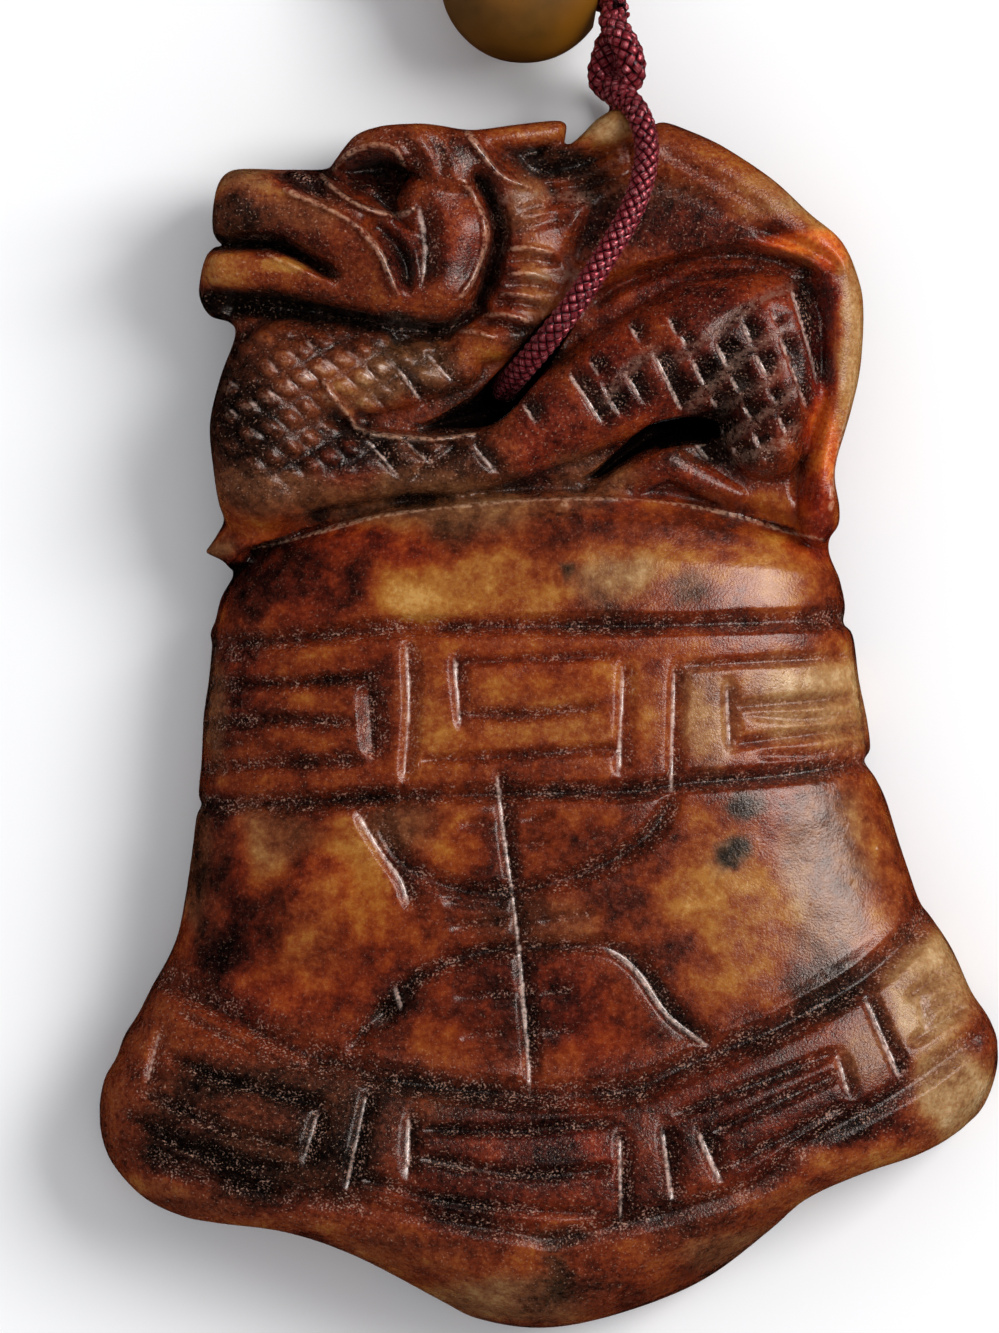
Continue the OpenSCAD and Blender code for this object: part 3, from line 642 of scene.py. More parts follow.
def mass_height(balls):
    top = np.full(GX.shape, -9.0)
    for a, b in zip(balls[:-1], balls[1:]):
        a, b = np.array(a, float), np.array(b, float)
        a[1] += crown_y
        b[1] += crown_y
        reach = max(a[2], b[2]) + 1.5
        i0, i1 = np.searchsorted(GX[:, 0], (min(a[0], b[0]) - reach, max(a[0], b[0]) + reach))
        j0, j1 = np.searchsorted(GY[0], (min(a[1], b[1]) - reach, max(a[1], b[1]) + reach))
        x, y = GX[i0:i1, j0:j1] - a[0], GY[i0:i1, j0:j1] - a[1]
        d = b[:2] - a[:2]
        t = np.clip((x * d[0] + y * d[1]) / (d @ d), 0, 1)
        e = np.hypot(x - t * d[0], y - t * d[1])
        r, share = a[2] + t * (b[2] - a[2]), a[3] + t * (b[3] - a[3])
        drop = np.where(e < r, r - np.sqrt(np.clip(r * r - e * e, 0, None)), r + 4 * (e - r))
        np.maximum(top[i0:i1, j0:j1], share * stone_t - drop * step, out=top[i0:i1, j0:j1])
    return top


for name, balls in MASSES.items():
    height = joined(height, mass_height(balls), wide_valley if name in WIDE_VALLEYS else valley)
height = np.where(on_bell & (GY < crown_y - 6), bell, height)

# Carving on top of the masses, in steps, with depths and widths in mm. "cut" is a groove with a sharp foot
# and a painted glint along its lit wall, "line" the same without the painted glint, "hollow" a round groove
# and "raise" a low rib with a soft crest.
CARVING = [
    # mouth, nostril, eye and lids
    ("line", 1.3, 0.5, [(11.2, 108.0), (15.2, 108.3), (17.7, 108.2), (20.2, 106.9), (22.7, 105.5),
                        (23.6, 105.0)]),
    ("line", 0.48, 0.42, [(23.0, 105.7), (23.9, 104.4)]),
    ("raise", 0.25, 0.3, [(17.0, 107.2), (19.4, 106.1), (21.6, 105.0)]),
    ("line", 0.75, 0.6, [(17.8, 115.5), (20.0, 114.7), (22.9, 112.8)]),
    ("hollow", 1.05, 1.3, [(24.8, 115.9), (27.4, 115.6), (30.0, 114.1)]),
    ("raise", 0.45, 0.3, [(23.6, 115.8), (25.3, 117.3), (27.7, 118.0), (29.6, 117.6), (30.7, 116.0)]),
    ("line", 0.21, 0.42, [(24.6, 117.7), (26.6, 118.9), (29.4, 118.9), (31.4, 117.2), (32.2, 114.6)]),
    ("raise", 0.55, 0.32, [(22.4, 115.2), (23.3, 114.0), (24.8, 112.8), (27.2, 111.6), (30.1, 111.1),
                           (31.6, 111.7)]),
    ("line", 0.21, 0.42, [(32.6, 119.3), (34.0, 117.3), (34.5, 114.8)]),
    ("line", 0.15, 0.42, [(34.4, 119.2), (36.0, 116.8), (36.6, 114.6)]),
    # fold from the eye down to the jaw, and the recess behind it
    ("raise", 0.45, 0.34, [(18.8, 113.6), (21.0, 112.6), (23.8, 111.3), (26.2, 109.7), (28.2, 107.3),
                           (29.4, 104.5), (30.1, 103.0)]),
    ("hollow", 1.0, 0.72, [(27.2, 110.4), (29.4, 108.5), (30.8, 106.2), (31.1, 103.8)]),
    ("cut", 0.5, 0.6, [(32.3, 112.0), (32.8, 109.4), (32.9, 107.0), (32.6, 104.3)]),
    # edge of the cheek and the deep line behind it, and the line under the jaw
    ("raise", 0.42, 0.34, [(36.6, 114.4), (38.2, 111.7), (38.8, 109.4), (38.4, 107.0), (37.4, 104.5),
                           (36.2, 102.9)]),
    ("line", 1.0, 0.46, [(37.8, 115.0), (39.3, 112.2), (40.0, 109.6), (39.7, 107.0), (38.7, 104.0),
                         (37.2, 102.0)]),
    ("line", 0.7, 0.5, [(22.0, 101.5), (28.0, 100.6), (34.0, 99.8), (37.6, 101.8)]),
    ("hollow", 0.9, 0.8, [(12.6, 102.2), (17.0, 102.0), (22.4, 101.5)]),
    # ridge behind the brow and the hollow under the front horn
    ("raise", 0.35, 0.36, [(36.7, 119.6), (38.4, 117.2), (40.4, 114.9), (43.3, 113.8)]),
    ("hollow", 0.8, 0.9, [(39.8, 117.3), (42.2, 116.2), (45.0, 115.9), (48.0, 116.4), (50.6, 117.6)]),
    ("line", 0.21, 0.42, [(41.4, 117.4), (46.0, 118.0)]),
    ("line", 0.18, 0.42, [(42.0, 115.2), (46.4, 115.0)]),
    # strands of the mane
    ("raise", 0.42, 0.34, [(41.0, 107.7), (43.2, 107.8), (45.6, 107.3)]),
    ("line", 0.36, 0.42, [(41.2, 106.5), (43.4, 106.6), (46.0, 106.2)]),
    ("raise", 0.45, 0.36, [(40.9, 105.2), (42.9, 105.3), (44.9, 104.8)]),
    ("line", 0.36, 0.42, [(41.0, 104.1), (43.2, 104.2), (45.4, 103.7)]),
    ("raise", 0.4, 0.34, [(40.2, 103.2), (42.2, 103.2), (43.9, 102.7)]),
    ("line", 0.36, 0.42, [(39.6, 102.3), (42.0, 102.3), (44.4, 101.9)]),
    ("raise", 0.46, 0.38, [(38.6, 101.2), (40.6, 101.2), (42.9, 100.6)]),
    ("line", 0.36, 0.42, [(38.0, 100.3), (40.0, 100.3), (42.4, 99.7)]),
    ("raise", 0.42, 0.34, [(36.2, 99.6), (37.8, 99.5), (39.6, 98.9)]),
    ("line", 0.21, 0.42, [(41.6, 109.3), (44.2, 110.2), (46.8, 110.9)]),
    ("line", 0.21, 0.42, [(42.2, 111.6), (45.4, 112.3), (48.8, 112.9)]),
    # back ridge, flame and the deep line along the inside of the back
    ("line", 0.18, 0.42, [(56.4, 117.4), (59.6, 115.6), (62.3, 114.1), (66.4, 111.4)]),
    ("hollow", 1.0, 0.7, [(49.0, 102.0), (52.4, 104.4), (57.6, 106.4), (62.6, 107.3), (67.0, 106.9),
                          (71.4, 105.4)]),
    ("hollow", 0.6, 0.6, [(65.8, 109.8), (69.6, 108.4), (72.4, 106.9), (73.8, 105.8)]),
    ("hollow", 0.75, 1.0, [(71.0, 105.4), (72.0, 101.0), (72.0, 96.0), (71.4, 91.6), (70.6, 87.0),
                           (70.4, 82.6)]),
    ("raise", 0.3, 0.35, [(74.9, 92.6), (73.6, 86.0), (73.0, 82.0)]),
    # light crest along the neck's foot, and the facets and cuts on either side of it
    ("raise", 0.6, 0.42, [(22.6, 94.6), (23.4, 93.4), (24.9, 91.4), (26.2, 89.8), (28.4, 89.3),
                          (33.4, 88.9), (37.6, 89.4)]),
    ("cut", 0.4, 0.45, [(27.0, 88.9), (30.1, 85.3)]), ("cut", 0.4, 0.45, [(30.8, 88.8), (33.4, 86.4)]),
    ("cut", 0.4, 0.45, [(36.0, 88.4), (31.4, 84.9)]), ("cut", 0.4, 0.45, [(37.8, 88.0), (40.0, 85.6)]),
    ("cut", 0.36, 0.42, [(33.0, 97.4), (35.4, 94.7)]), ("cut", 0.36, 0.42, [(30.1, 96.0), (32.5, 92.6)]),
    ("cut", 0.3, 0.4, [(27.6, 93.4), (28.6, 92.1)]),
    # where the dragon's foot meets the bell, and the lip of the bell's crown
    ("hollow", 0.45, 0.9, [(14.6, 80.4), (19.0, 79.8), (27.6, 82.2), (36.0, 83.4), (45.0, 84.0),
                           (54.4, 83.9), (62.2, 82.4), (69.0, 80.0)]),
    ("raise", 0.24, 0.26, [(15.4, 78.0), (19.1, 78.8), (27.6, 81.1), (36.1, 82.2), (45.4, 82.9),
                           (54.3, 82.8), (62.3, 81.6), (68.5, 79.8), (72.4, 78.8)]),
    ("raise", 0.55, 0.62, [(46.4, 82.4), (46.7, 82.4)]),
    # rings of the bell
    ("line", 0.51, 0.7, [(10.6, 68.1), (20.3, 69.0), (30, 70.0), (44.5, 70.2), (56.3, 70.3),
                         (75.5, 70.9)]),
    ("line", 0.48, 0.65, [(9.2, 52.3), (17.9, 52.5), (30, 53.3), (46.2, 53.7), (53.6, 53.9), (58.9, 54.7),
                          (67, 55.3), (78.0, 56.8)]),
    ("line", 0.6, 0.95, [(6.0, 35.3), (7.7, 34.4), (12, 32.2), (19.6, 28.2), (25.7, 26.4), (28.8, 25.2),
                         (42.6, 23.6), (52.5, 24.1), (59.8, 27), (67.1, 30), (76.2, 35.1), (82.8, 41.3),
                         (84.0, 42.2)]),
    ("line", 0.42, 0.75, [(4.6, 17.6), (7.0, 16.4), (13.5, 14.8), (22.7, 13.2), (28.8, 12.3), (41, 10.2),
                          (46.3, 9.7), (57.6, 12.4), (65.3, 14.9), (70.7, 19.0), (79.9, 24.1),
                          (87.8, 29.6)]),
    # fret of the upper band
    ("cut", 0.36, 0.5, [(10.6, 64.3), (20, 64.6), (28.0, 65.2)]),
    ("cut", 0.2, 0.35, [(10.6, 67.0), (16.4, 67.4)]), ("cut", 0.2, 0.35, [(10.4, 62.4), (14.6, 62.6)]),
    ("line", 0.5, 0.8, [(27.1, 64.4), (27.6, 57.2)]),
    ("cut", 0.3, 0.5, [(10.4, 60.4), (17.9, 60.9), (24.8, 60.6)]),
    ("cut", 0.3, 0.5, [(10.0, 56.0), (18, 56.5), (26.2, 57.0)]),
    ("cut", 0.16, 0.35, [(10.2, 58.4), (15.0, 58.5)]),
    ("cut", 0.39, 0.5, [(31.0, 68.6), (31.2, 62.0), (30.7, 55.0)]),
    ("cut", 0.36, 0.5, [(35.8, 67.3), (36.3, 60.4)]), ("cut", 0.27, 0.42, [(36.1, 66.6), (51.2, 67.3)]),
    ("cut", 0.3, 0.5, [(36.6, 61.5), (43.0, 61.4), (49.8, 62.2)]),
    ("cut", 0.27, 0.42, [(32.4, 56.9), (52.2, 58.1)]), ("cut", 0.36, 0.5, [(52.5, 66.5), (52.1, 55.8)]),
    ("cut", 0.36, 0.45, [(57.6, 66.5), (57.2, 53.4)]), ("cut", 0.3, 0.42, [(58.7, 66.3), (75.0, 67.2)]),
    ("cut", 0.36, 0.5, [(62.7, 64.6), (63.0, 58.2)]), ("cut", 0.3, 0.42, [(63.5, 62.2), (75.6, 63.2)]),
    ("cut", 0.16, 0.35, [(64.5, 61.4), (70.6, 61.0), (75.6, 61.6)]),
    ("cut", 0.18, 0.38, [(66.0, 57.4), (71.6, 57.4), (76.6, 58.6)]),
    ("cut", 0.3, 0.42, [(63.2, 58.5), (76.6, 60.2)]),
    # mark on the bell's body: an upright that crosses a swag and an arch. It is taken for an
    # ornament here, and might be a worn written sign, which the photo can't settle
    ("cut", 0.36, 0.5, [(40, 55.5), (40.7, 49.4), (42.3, 37.1), (43.3, 24)]),
    ("cut", 0.4, 0.62, [(26.3, 51.6), (28.4, 48.0), (30.4, 45.2), (31.2, 42.7)]),
    ("line", 0.42, 0.7, [(27.8, 50.6), (29.8, 47.4), (32.8, 45.3), (37.6, 43.8), (41.8, 43.9),
                         (47.0, 45.3), (51.7, 47.2), (55.2, 49.9), (57.3, 53.4)]),
    ("cut", 0.35, 0.5, [(29.9, 34.6), (30.5, 32.4)]), ("cut", 0.3, 0.5, [(24.6, 27.6), (26.2, 29.3)]),
    # short level ticks on either side of that upright
    ("cut", 0.2, 0.4, [(34.8, 43.0), (38.0, 42.5), (41.2, 42.8)]),
    ("cut", 0.2, 0.45, [(35.6, 40.4), (41.2, 41.1)]), ("cut", 0.16, 0.4, [(36.0, 33.4), (41.6, 33.9)]),
    ("cut", 0.14, 0.4, [(36.5, 29.6), (41.2, 29.9)]), ("cut", 0.16, 0.4, [(44.2, 41.0), (49.7, 41.7)]),
    ("cut", 0.14, 0.4, [(44.2, 33.9), (47.5, 34.3)]), ("cut", 0.14, 0.4, [(44.2, 29.9), (47.6, 30.2)]),
    ("cut", 0.14, 0.35, [(42.4, 51.0), (45.6, 51.4)]), ("cut", 0.14, 0.35, [(42.2, 48.4), (45.2, 48.8)]),
    ("cut", 0.12, 0.35, [(36.4, 50.6), (39.6, 50.8)]),
    ("cut", 0.4, 0.66, [(25, 27.8), (27.4, 31.0), (30.3, 33.7), (31.9, 35.3), (36.5, 37.4), (41, 38.3),
                        (46.6, 38.4), (50.6, 38.4), (53.9, 36.2), (56.9, 31.8), (61.2, 28.5)]),
    ("hollow", 0.5, 0.7, [(28.2, 31.0), (29.4, 32.2)]),
    # fret of the skirt
    ("cut", 0.36, 0.5, [(6.5, 30.1), (5.1, 24.6)]),
    ("line", 0.3, 0.45, [(8.3, 31.6), (16.6, 27.6), (23.3, 26.1)]),
    ("line", 0.36, 0.5, [(6.8, 27.6), (15.3, 24.3), (22.7, 22.7)]),
    ("line", 0.36, 0.5, [(4.3, 23.9), (12, 20.6), (19.3, 18.7)]),
    ("line", 0.33, 0.5, [(2.8, 21.8), (10.4, 17.8), (19.6, 16.3)]),
    ("cut", 0.36, 0.55, [(22.4, 22.4), (20.8, 17.2)]), ("cut", 0.39, 0.5, [(27.1, 24.3), (25.1, 14.5)]),
    ("cut", 0.39, 0.55, [(31.3, 21.8), (31.1, 15.7)]),
    ("cut", 0.3, 0.45, [(32.6, 20.3), (42.0, 20.2), (51.2, 21)]),
    ("cut", 0.33, 0.5, [(32.3, 17.5), (43, 15.8), (51.2, 16.5)]),
    ("line", 0.3, 0.45, [(26.4, 15.5), (36.1, 13), (49.9, 12)]),
    ("cut", 0.39, 0.5, [(52.1, 20.1), (52.3, 11)]), ("cut", 0.42, 0.6, [(56.3, 20.8), (57.4, 13.2)]),
    ("cut", 0.42, 0.6, [(60, 20.1), (62.2, 15.3)]),
    ("cut", 0.3, 0.45, [(57.6, 21.9), (66.0, 25.0), (73.7, 28.1)]),
    ("cut", 0.3, 0.45, [(61.2, 20.1), (74, 25.9)]), ("cut", 0.3, 0.45, [(63.1, 16.8), (74.4, 22.7)]),
    ("cut", 0.36, 0.5, [(73.7, 27.8), (74.8, 23.8)]), ("cut", 0.39, 0.55, [(76.4, 33.6), (79.9, 25.6)]),
    ("cut", 0.3, 0.45, [(80.6, 33.3), (85.4, 36.5)]), ("cut", 0.3, 0.45, [(81, 28.9), (86.5, 32.5)]),
    ("cut", 0.3, 0.42, [(82.0, 33.6), (82.7, 29.6)]), ("cut", 0.26, 0.4, [(82.6, 32.4), (85.6, 33.6)]),
]
# Pits between the scales of the coil, and the dusty scratches that cross them
pit_deep, pit_wide, scratch_wide = 0.4, 0.5, 0.26
PITS = [
    [(69.2, 103.9), (71.1, 97.3), (71.8, 94.3)], [(67.2, 101.4), (67.8, 100.1)],
    [(68.0, 99.1), (69.4, 95.4), (70.7, 92.0)], [(64.4, 100.4), (65.3, 98.3)],
    [(65.6, 97.3), (66.9, 94.7)], [(66.9, 93.6), (67.7, 92.3)], [(67.9, 91.3), (69.0, 88.3)],
    [(61.7, 98.4), (62.8, 96.1)], [(63.1, 95.2), (64.3, 93.2)], [(64.4, 92.2), (65.3, 90.8)],
    [(65.5, 89.5), (66.7, 86.8)], [(58.1, 99.1), (58.9, 97.8)], [(59.3, 96.8), (60.5, 94.3)],
    [(61.2, 93.1), (61.8, 92.0)], [(62.0, 90.6), (62.7, 89.0)], [(56.9, 100.9), (57.8, 99.1)],
    [(55.5, 97.3), (58.3, 91.9)], [(52.8, 95.3), (54.2, 92.8)], [(49.1, 96.7), (50.1, 95.1)],
    [(50.5, 94.0), (52.0, 91.4)], [(47.2, 95.3), (50.3, 90.6)], [(59.7, 88.5), (61.0, 87.0)],
    [(63.4, 88.1), (63.9, 87.1)], [(42.6, 92.4), (43.8, 90.4)], [(53.0, 100.4), (54.2, 98.4)],
]
SCRATCHES = [
    [(59.2, 92.2), (62.8, 95.7), (65.6, 98.0), (68.4, 99.8)],
    [(58.0, 97.0), (61.2, 99.3), (63.8, 101.2), (66.3, 102.8), (68.8, 103.9)],
    [(62.3, 91.7), (64.9, 93.6), (67.0, 94.7), (68.6, 96.8)],
    [(62.8, 89.0), (65.6, 90.8), (67.9, 92.4), (69.5, 94.0)],
    [(63.8, 86.9), (67.2, 88.1), (69.5, 89.9)], [(50.6, 92.6), (52.6, 95.4), (55.4, 97.6)],
    [(43.4, 104.8), (47.6, 105.4)], [(40.4, 112.6), (44.6, 113.2), (49.0, 113.0)],
]


def carve(kind, deep, wide, points):
    """One stroke of the carver's tool: it tapers at both ends and wavers a little. A cut or a pit gets a
    painted glint on its wall away from the window, which is the lit wall, and a pit has a wide wall towards
    the window that is darkened as painted shade. Level strokes are deeper and narrower, and get more dirt
    and painted shade."""
    global height, cut_map, crest_map, cut_depth, dirt_and_shade_map, painted_glint_map
    route = eased(points, 5) if len(points) > 2 else points
    e, along, run, side = from_line(route, False, wide / step * 2 + 0.6)
    e = (e + wander * 0.12) * step
    end = np.clip(np.minimum(along, run - along) / 0.9, 0, 1)
    strength = (0.45 + 0.55 * end ** 0.7) * (1 + 0.16 * pressure)
    if kind in ("cut", "pit", "line"):
        across, up = np.abs(np.subtract(points[-1], points[0]))
        level = across / (across + up)
        wide_here = wide * (1.25 - 0.25 * level) * (1 + (0.6 if kind == "pit" else 0.3) * side)
        t = np.clip(1 - e / (wide_here * (0.75 + 0.25 * end)), 0, 1)
        form = t * (1.2 - 0.2 * t)
        full = strength * min(1, deep / 0.28)
        cut_map = np.maximum(cut_map, form * full)
        cut_depth = np.maximum(cut_depth, deep * (1.15 + 0.35 * level) * form * strength)
        # dirt and painted shade: level grooves are darkened, and so is the wall towards the window, which
        # faces away from the light
        spread = np.clip(1.4 - e / (wide_here * 1.1), 0, 1) * full
        shaded = np.clip(side, 0, 1) * (2.0 if kind == "pit" else 0.9)
        dirt_and_shade_map = np.maximum(dirt_and_shade_map, spread * np.maximum(level ** 1.5, shaded))
        # painted glint: a pale colour on the lit wall of a cut or pit, the one away from the window
        lit = np.clip(-side, 0, 1) ** 2 * np.clip(1.25 - e / (wide * 0.42), 0, 1)
        if kind != "line":
            painted_glint_map = np.maximum(painted_glint_map, lit * full)
        return
    t = np.clip(1 - e / (wide * (0.75 + 0.25 * end)), 0, 1)
    form = t * t * (3 - 2 * t)
    height = height + (deep if kind == "raise" else -deep) * form * strength
    if kind == "raise":
        crest_map = np.maximum(crest_map, form)


wander, pressure = uneven(1.6, 11), uneven(1.1, 12)
cut_map, crest_map, cut_depth, dirt_and_shade_map, painted_glint_map = (np.zeros(GX.shape) for _ in range(5))
height = height + 0.10 * uneven(5.0, 1) + 0.05 * uneven(2.2, 2) + 0.022 * uneven(0.9, 3)
for kind, deep, wide, points in CARVING:
    carve(kind, deep, wide, points)
for points in PITS:
    carve("pit", pit_deep, pit_wide, points)
dust_map = np.zeros(GX.shape)
for points in SCRATCHES:
    far = from_line(eased(points, 5), False, 2)[0] + wander * 0.2
    dust_map = np.maximum(dust_map, np.clip(1.5 - far * step / scratch_wide, 0, 1))
cut_depth = cut_depth * (1 - 0.75 * dust_map) + 0.1 * dust_map
dirt_and_shade_map, painted_glint_map = dirt_and_shade_map * (1 - 0.8 * dust_map), painted_glint_map * (1 - 0.8 * dust_map)

# Scales of the neck: low blocks in slanting rows, with the pits between them darkened by dirt and painted
# shade, and a painted glint on the edge of each that faces the window
scale_high, scale_long, scale_wide = 0.34, 1.45, 1.08
first_x, first_y = 18.9, 94.0
NECK = [(12.4, 87.0), (20.0, 84.8), (27.0, 87.0), (28.4, 93.0), (35.4, 96.4), (34.4, 99.4), (24.0, 99.6),
        (13.8, 99.2)]
row = ((GY - first_y) * 0.883 - (GX - first_x) * 0.469) * step / scale_long + 0.5 + 0.12 * wander
line = ((GX - first_x) * 0.682 + (GY - first_y) * 0.731) * step / scale_wide + 0.5 + 0.12 * pressure
on_neck = np.clip(0.5 - signed(NECK, 6), 0, 1)
blocks = (np.sin(math.pi * row) * np.sin(math.pi * line)) ** 2 * (0.85 + 0.5 * pressure)
height = height + on_neck * scale_high * (np.clip(2.3 * blocks, 0, 1) - 0.6)
# dirt and painted shade in the pits between the neck blocks
dirt_and_shade_map = np.maximum(dirt_and_shade_map, on_neck * np.clip(1 - 3.2 * blocks, 0, 1))
crest_map = np.maximum(crest_map, on_neck * np.clip(1.6 * blocks - 0.5, 0, 0.75))
# painted glint on the edge of each neck block that faces the window
edge = line - np.floor(line)
edge = np.clip((edge - 0.66) / 0.14, 0, 1) * np.clip((1.0 - edge) / 0.08, 0, 1)
edge = edge * np.clip(1.7 * np.sin(math.pi * row) ** 2 - 0.5, 0, 1)
painted_glint_map = np.maximum(painted_glint_map, on_neck * edge * (0.42 + 0.45 * pressure))
# The field under the back ridge is cut down flat, and rises a little towards the window
FLAME = [(47.6, 106.4), (50.6, 112.6), (55.4, 114.8), (60.4, 114.4), (65.4, 111.8), (69.4, 109.0),
         (65.4, 107.8), (57.6, 107.0)]
share = np.clip(0.7 - signed(FLAME, 6) / 0.9, 0, 1)
floor_high, floor_rise = 8.35, 0.09
floor = floor_high + floor_rise * ((GX - 58) * window_x + (GY - 111) * window_y) * step \
    + 0.08 * pressure
height = height + (np.minimum(height, floor) - height) * share
height = height - cut_depth
wornness = np.clip(blurred(cut_map, 0.5) * 2.2, 0, 1)

# The edge is rubbed round, and the whole relief is softened slightly by polishing
edge_round, polish_share, polish_radius, hollow_radius = 0.75, 0.45, 0.07, 0.75
turn = np.clip(1 - depth_in / edge_round, 0, 1)
height = height - edge_round * (1 - np.sqrt(1 - np.clip(turn, 0, 0.995) ** 2))
height = (1 - polish_share) * height + polish_share * blurred(height, polish_radius)
height = np.clip(height, 1.2, stone_t - 0.03)
back = back_relief * np.clip((GY - crown_y + 7 + 0.004 * (GX - middle_x) ** 2) / 4, 0, 1) ** 1.5
# How far each cell lies below its surroundings: it feeds the painted shade in recesses and the lighter
# worn, partly highlighted convex places
hollow_map = np.clip((blurred(height, hollow_radius) - height) / 0.8, -1, 1)
pierced = np.minimum.reduce([signed(points, 6) for points in PIERCED])
# Both slots are cut at a slant towards the back, and the first leaves room for the cord
SLANTS = [(2.47, -2.19), (0.0, 2.6)]
pierced_behind = np.minimum.reduce([signed([(x + dx, y + dy) for x, y in points], 6)
                                    for points, (dx, dy) in zip(PIERCED, SLANTS)])
cord_room = from_line([(40.7, 94.0), (41.8, 95.3)], False, 12)[0] * step - (cord_d / 2 + 0.12)
pierced_behind = np.minimum(pierced_behind, cord_room)


def stone_skin():
    """The closed skin of the stone: its front, back, rubbed sides and pierced slots."""
    back_round, mouth_round, slot_room, band = 0.42, 0.25, 0.12, 3 * cell
    zs = np.arange(-4 * cell, stone_t + 4 * cell, cell)
    slope_x, slope_y = np.gradient(height, cell)
    slope = np.sqrt(1 + np.clip(slope_x ** 2 + slope_y ** 2, 0, 16))
    z = zs[None, None, :]
    field = np.empty((len(xs), len(ys), len(zs)), np.float32)
    at_a_time = 60
    for i in range(0, len(xs), at_a_time):
        rows = slice(i, i + at_a_time)
        front = (z - height[rows, :, None]) / slope[rows, :, None]
        above_back = z - back[rows, :, None]
        side = outline[rows, :, None] + back_round * np.clip(1 - above_back / 1.3, 0, 1) ** 2
        far_down = np.clip((7 - z) / 4, 0, 1)
        hole = (far_down - 1) * pierced[rows, :, None] - far_down * pierced_behind[rows, :, None] \
            - mouth_round * np.clip((z - 6) / 5, 0, 1) ** 2 - slot_room * far_down
        f = joined(front, side, 0.25)
        f = joined(f, -above_back, 0.3)
        f = joined(f, hole, 0.2)
        field[rows] = np.clip(f, -band, band)
    grid = openvdb.FloatGrid(band)
    grid.copyFromArray(field, tolerance=1e-6)
    grid.transform = openvdb.createLinearTransform(voxelSize=cell)
    points, triangles, quads = grid.convertToPolygons(0.0, 0.0)
    points = points + np.array((xs[0], ys[0], zs[0]))
    return points, triangles, quads


def stone_mesh():
    points, triangles, quads = stone_skin()
    mesh = bpy.data.meshes.new("carved_stone")
    loops = np.concatenate([triangles.ravel(), quads.ravel()]).astype(np.int32)
    sizes = np.concatenate([np.full(len(triangles), 3), np.full(len(quads), 4)])
    mesh.vertices.add(len(points))
    mesh.vertices.foreach_set("co", (points * MM).astype(np.float32).ravel())
    mesh.loops.add(len(loops))
    mesh.loops.foreach_set("vertex_index", loops)
    mesh.polygons.add(len(sizes))
    mesh.polygons.foreach_set("loop_start", np.concatenate([[0], np.cumsum(sizes)[:-1]]))
    mesh.update(calc_edges=True)
    return mesh


def read_at(field, points):
    """The field's value under each point, which is in mm."""
    x = np.clip((points[:, 0] - xs[0]) / cell, 0, len(xs) - 2)
    y = np.clip((points[:, 1] - ys[0]) / cell, 0, len(ys) - 2)
    i, j = x.astype(int), y.astype(int)
    a, b = x - i, y - j
    if field.ndim == 3:
        a, b = a[:, None], b[:, None]
    return (field[i, j] * (1 - a) * (1 - b) + field[i + 1, j] * a * (1 - b)
            + field[i, j + 1] * (1 - a) * b + field[i + 1, j + 1] * a * b)


def thinned(mesh, triangles, kept_points):
    """The same skin with fewer faces: all are kept in the finest carving."""
    points = np.empty(len(mesh.vertices) * 3, np.float32)
    mesh.vertices.foreach_get("co", points)
    points = points.reshape(-1, 3) / MM
    finest = read_at(np.maximum.reduce([cut_map, painted_glint_map, 0.6 * crest_map]), points)
    finest = finest * (read_at(height, points) - points[:, 2] < 0.6)
    limit = max(0.05, np.partition(finest, -kept_points)[-kept_points])
    item = bpy.data.objects.new("thinning", mesh)
    bpy.context.scene.collection.objects.link(item)
    plain = item.vertex_groups.new(name="plain")
    plain.add(np.flatnonzero(finest <= limit).tolist(), 1.0, "REPLACE")
    tool = item.modifiers.new("thin", "DECIMATE")
    tool.vertex_group = plain.name
    tool.ratio = min(1, triangles / (2 * len(mesh.polygons)))
    graph = bpy.context.evaluated_depsgraph_get()
    result = bpy.data.meshes.new_from_object(item.evaluated_get(graph), depsgraph=graph)
    bpy.data.objects.remove(item)
    bpy.data.meshes.remove(mesh)
    result.name = "carved_stone"
    return result


most_triangles, finest_points = 196000, 44000
stone_skin_mesh = facing_out(thinned(stone_mesh(), most_triangles, finest_points))
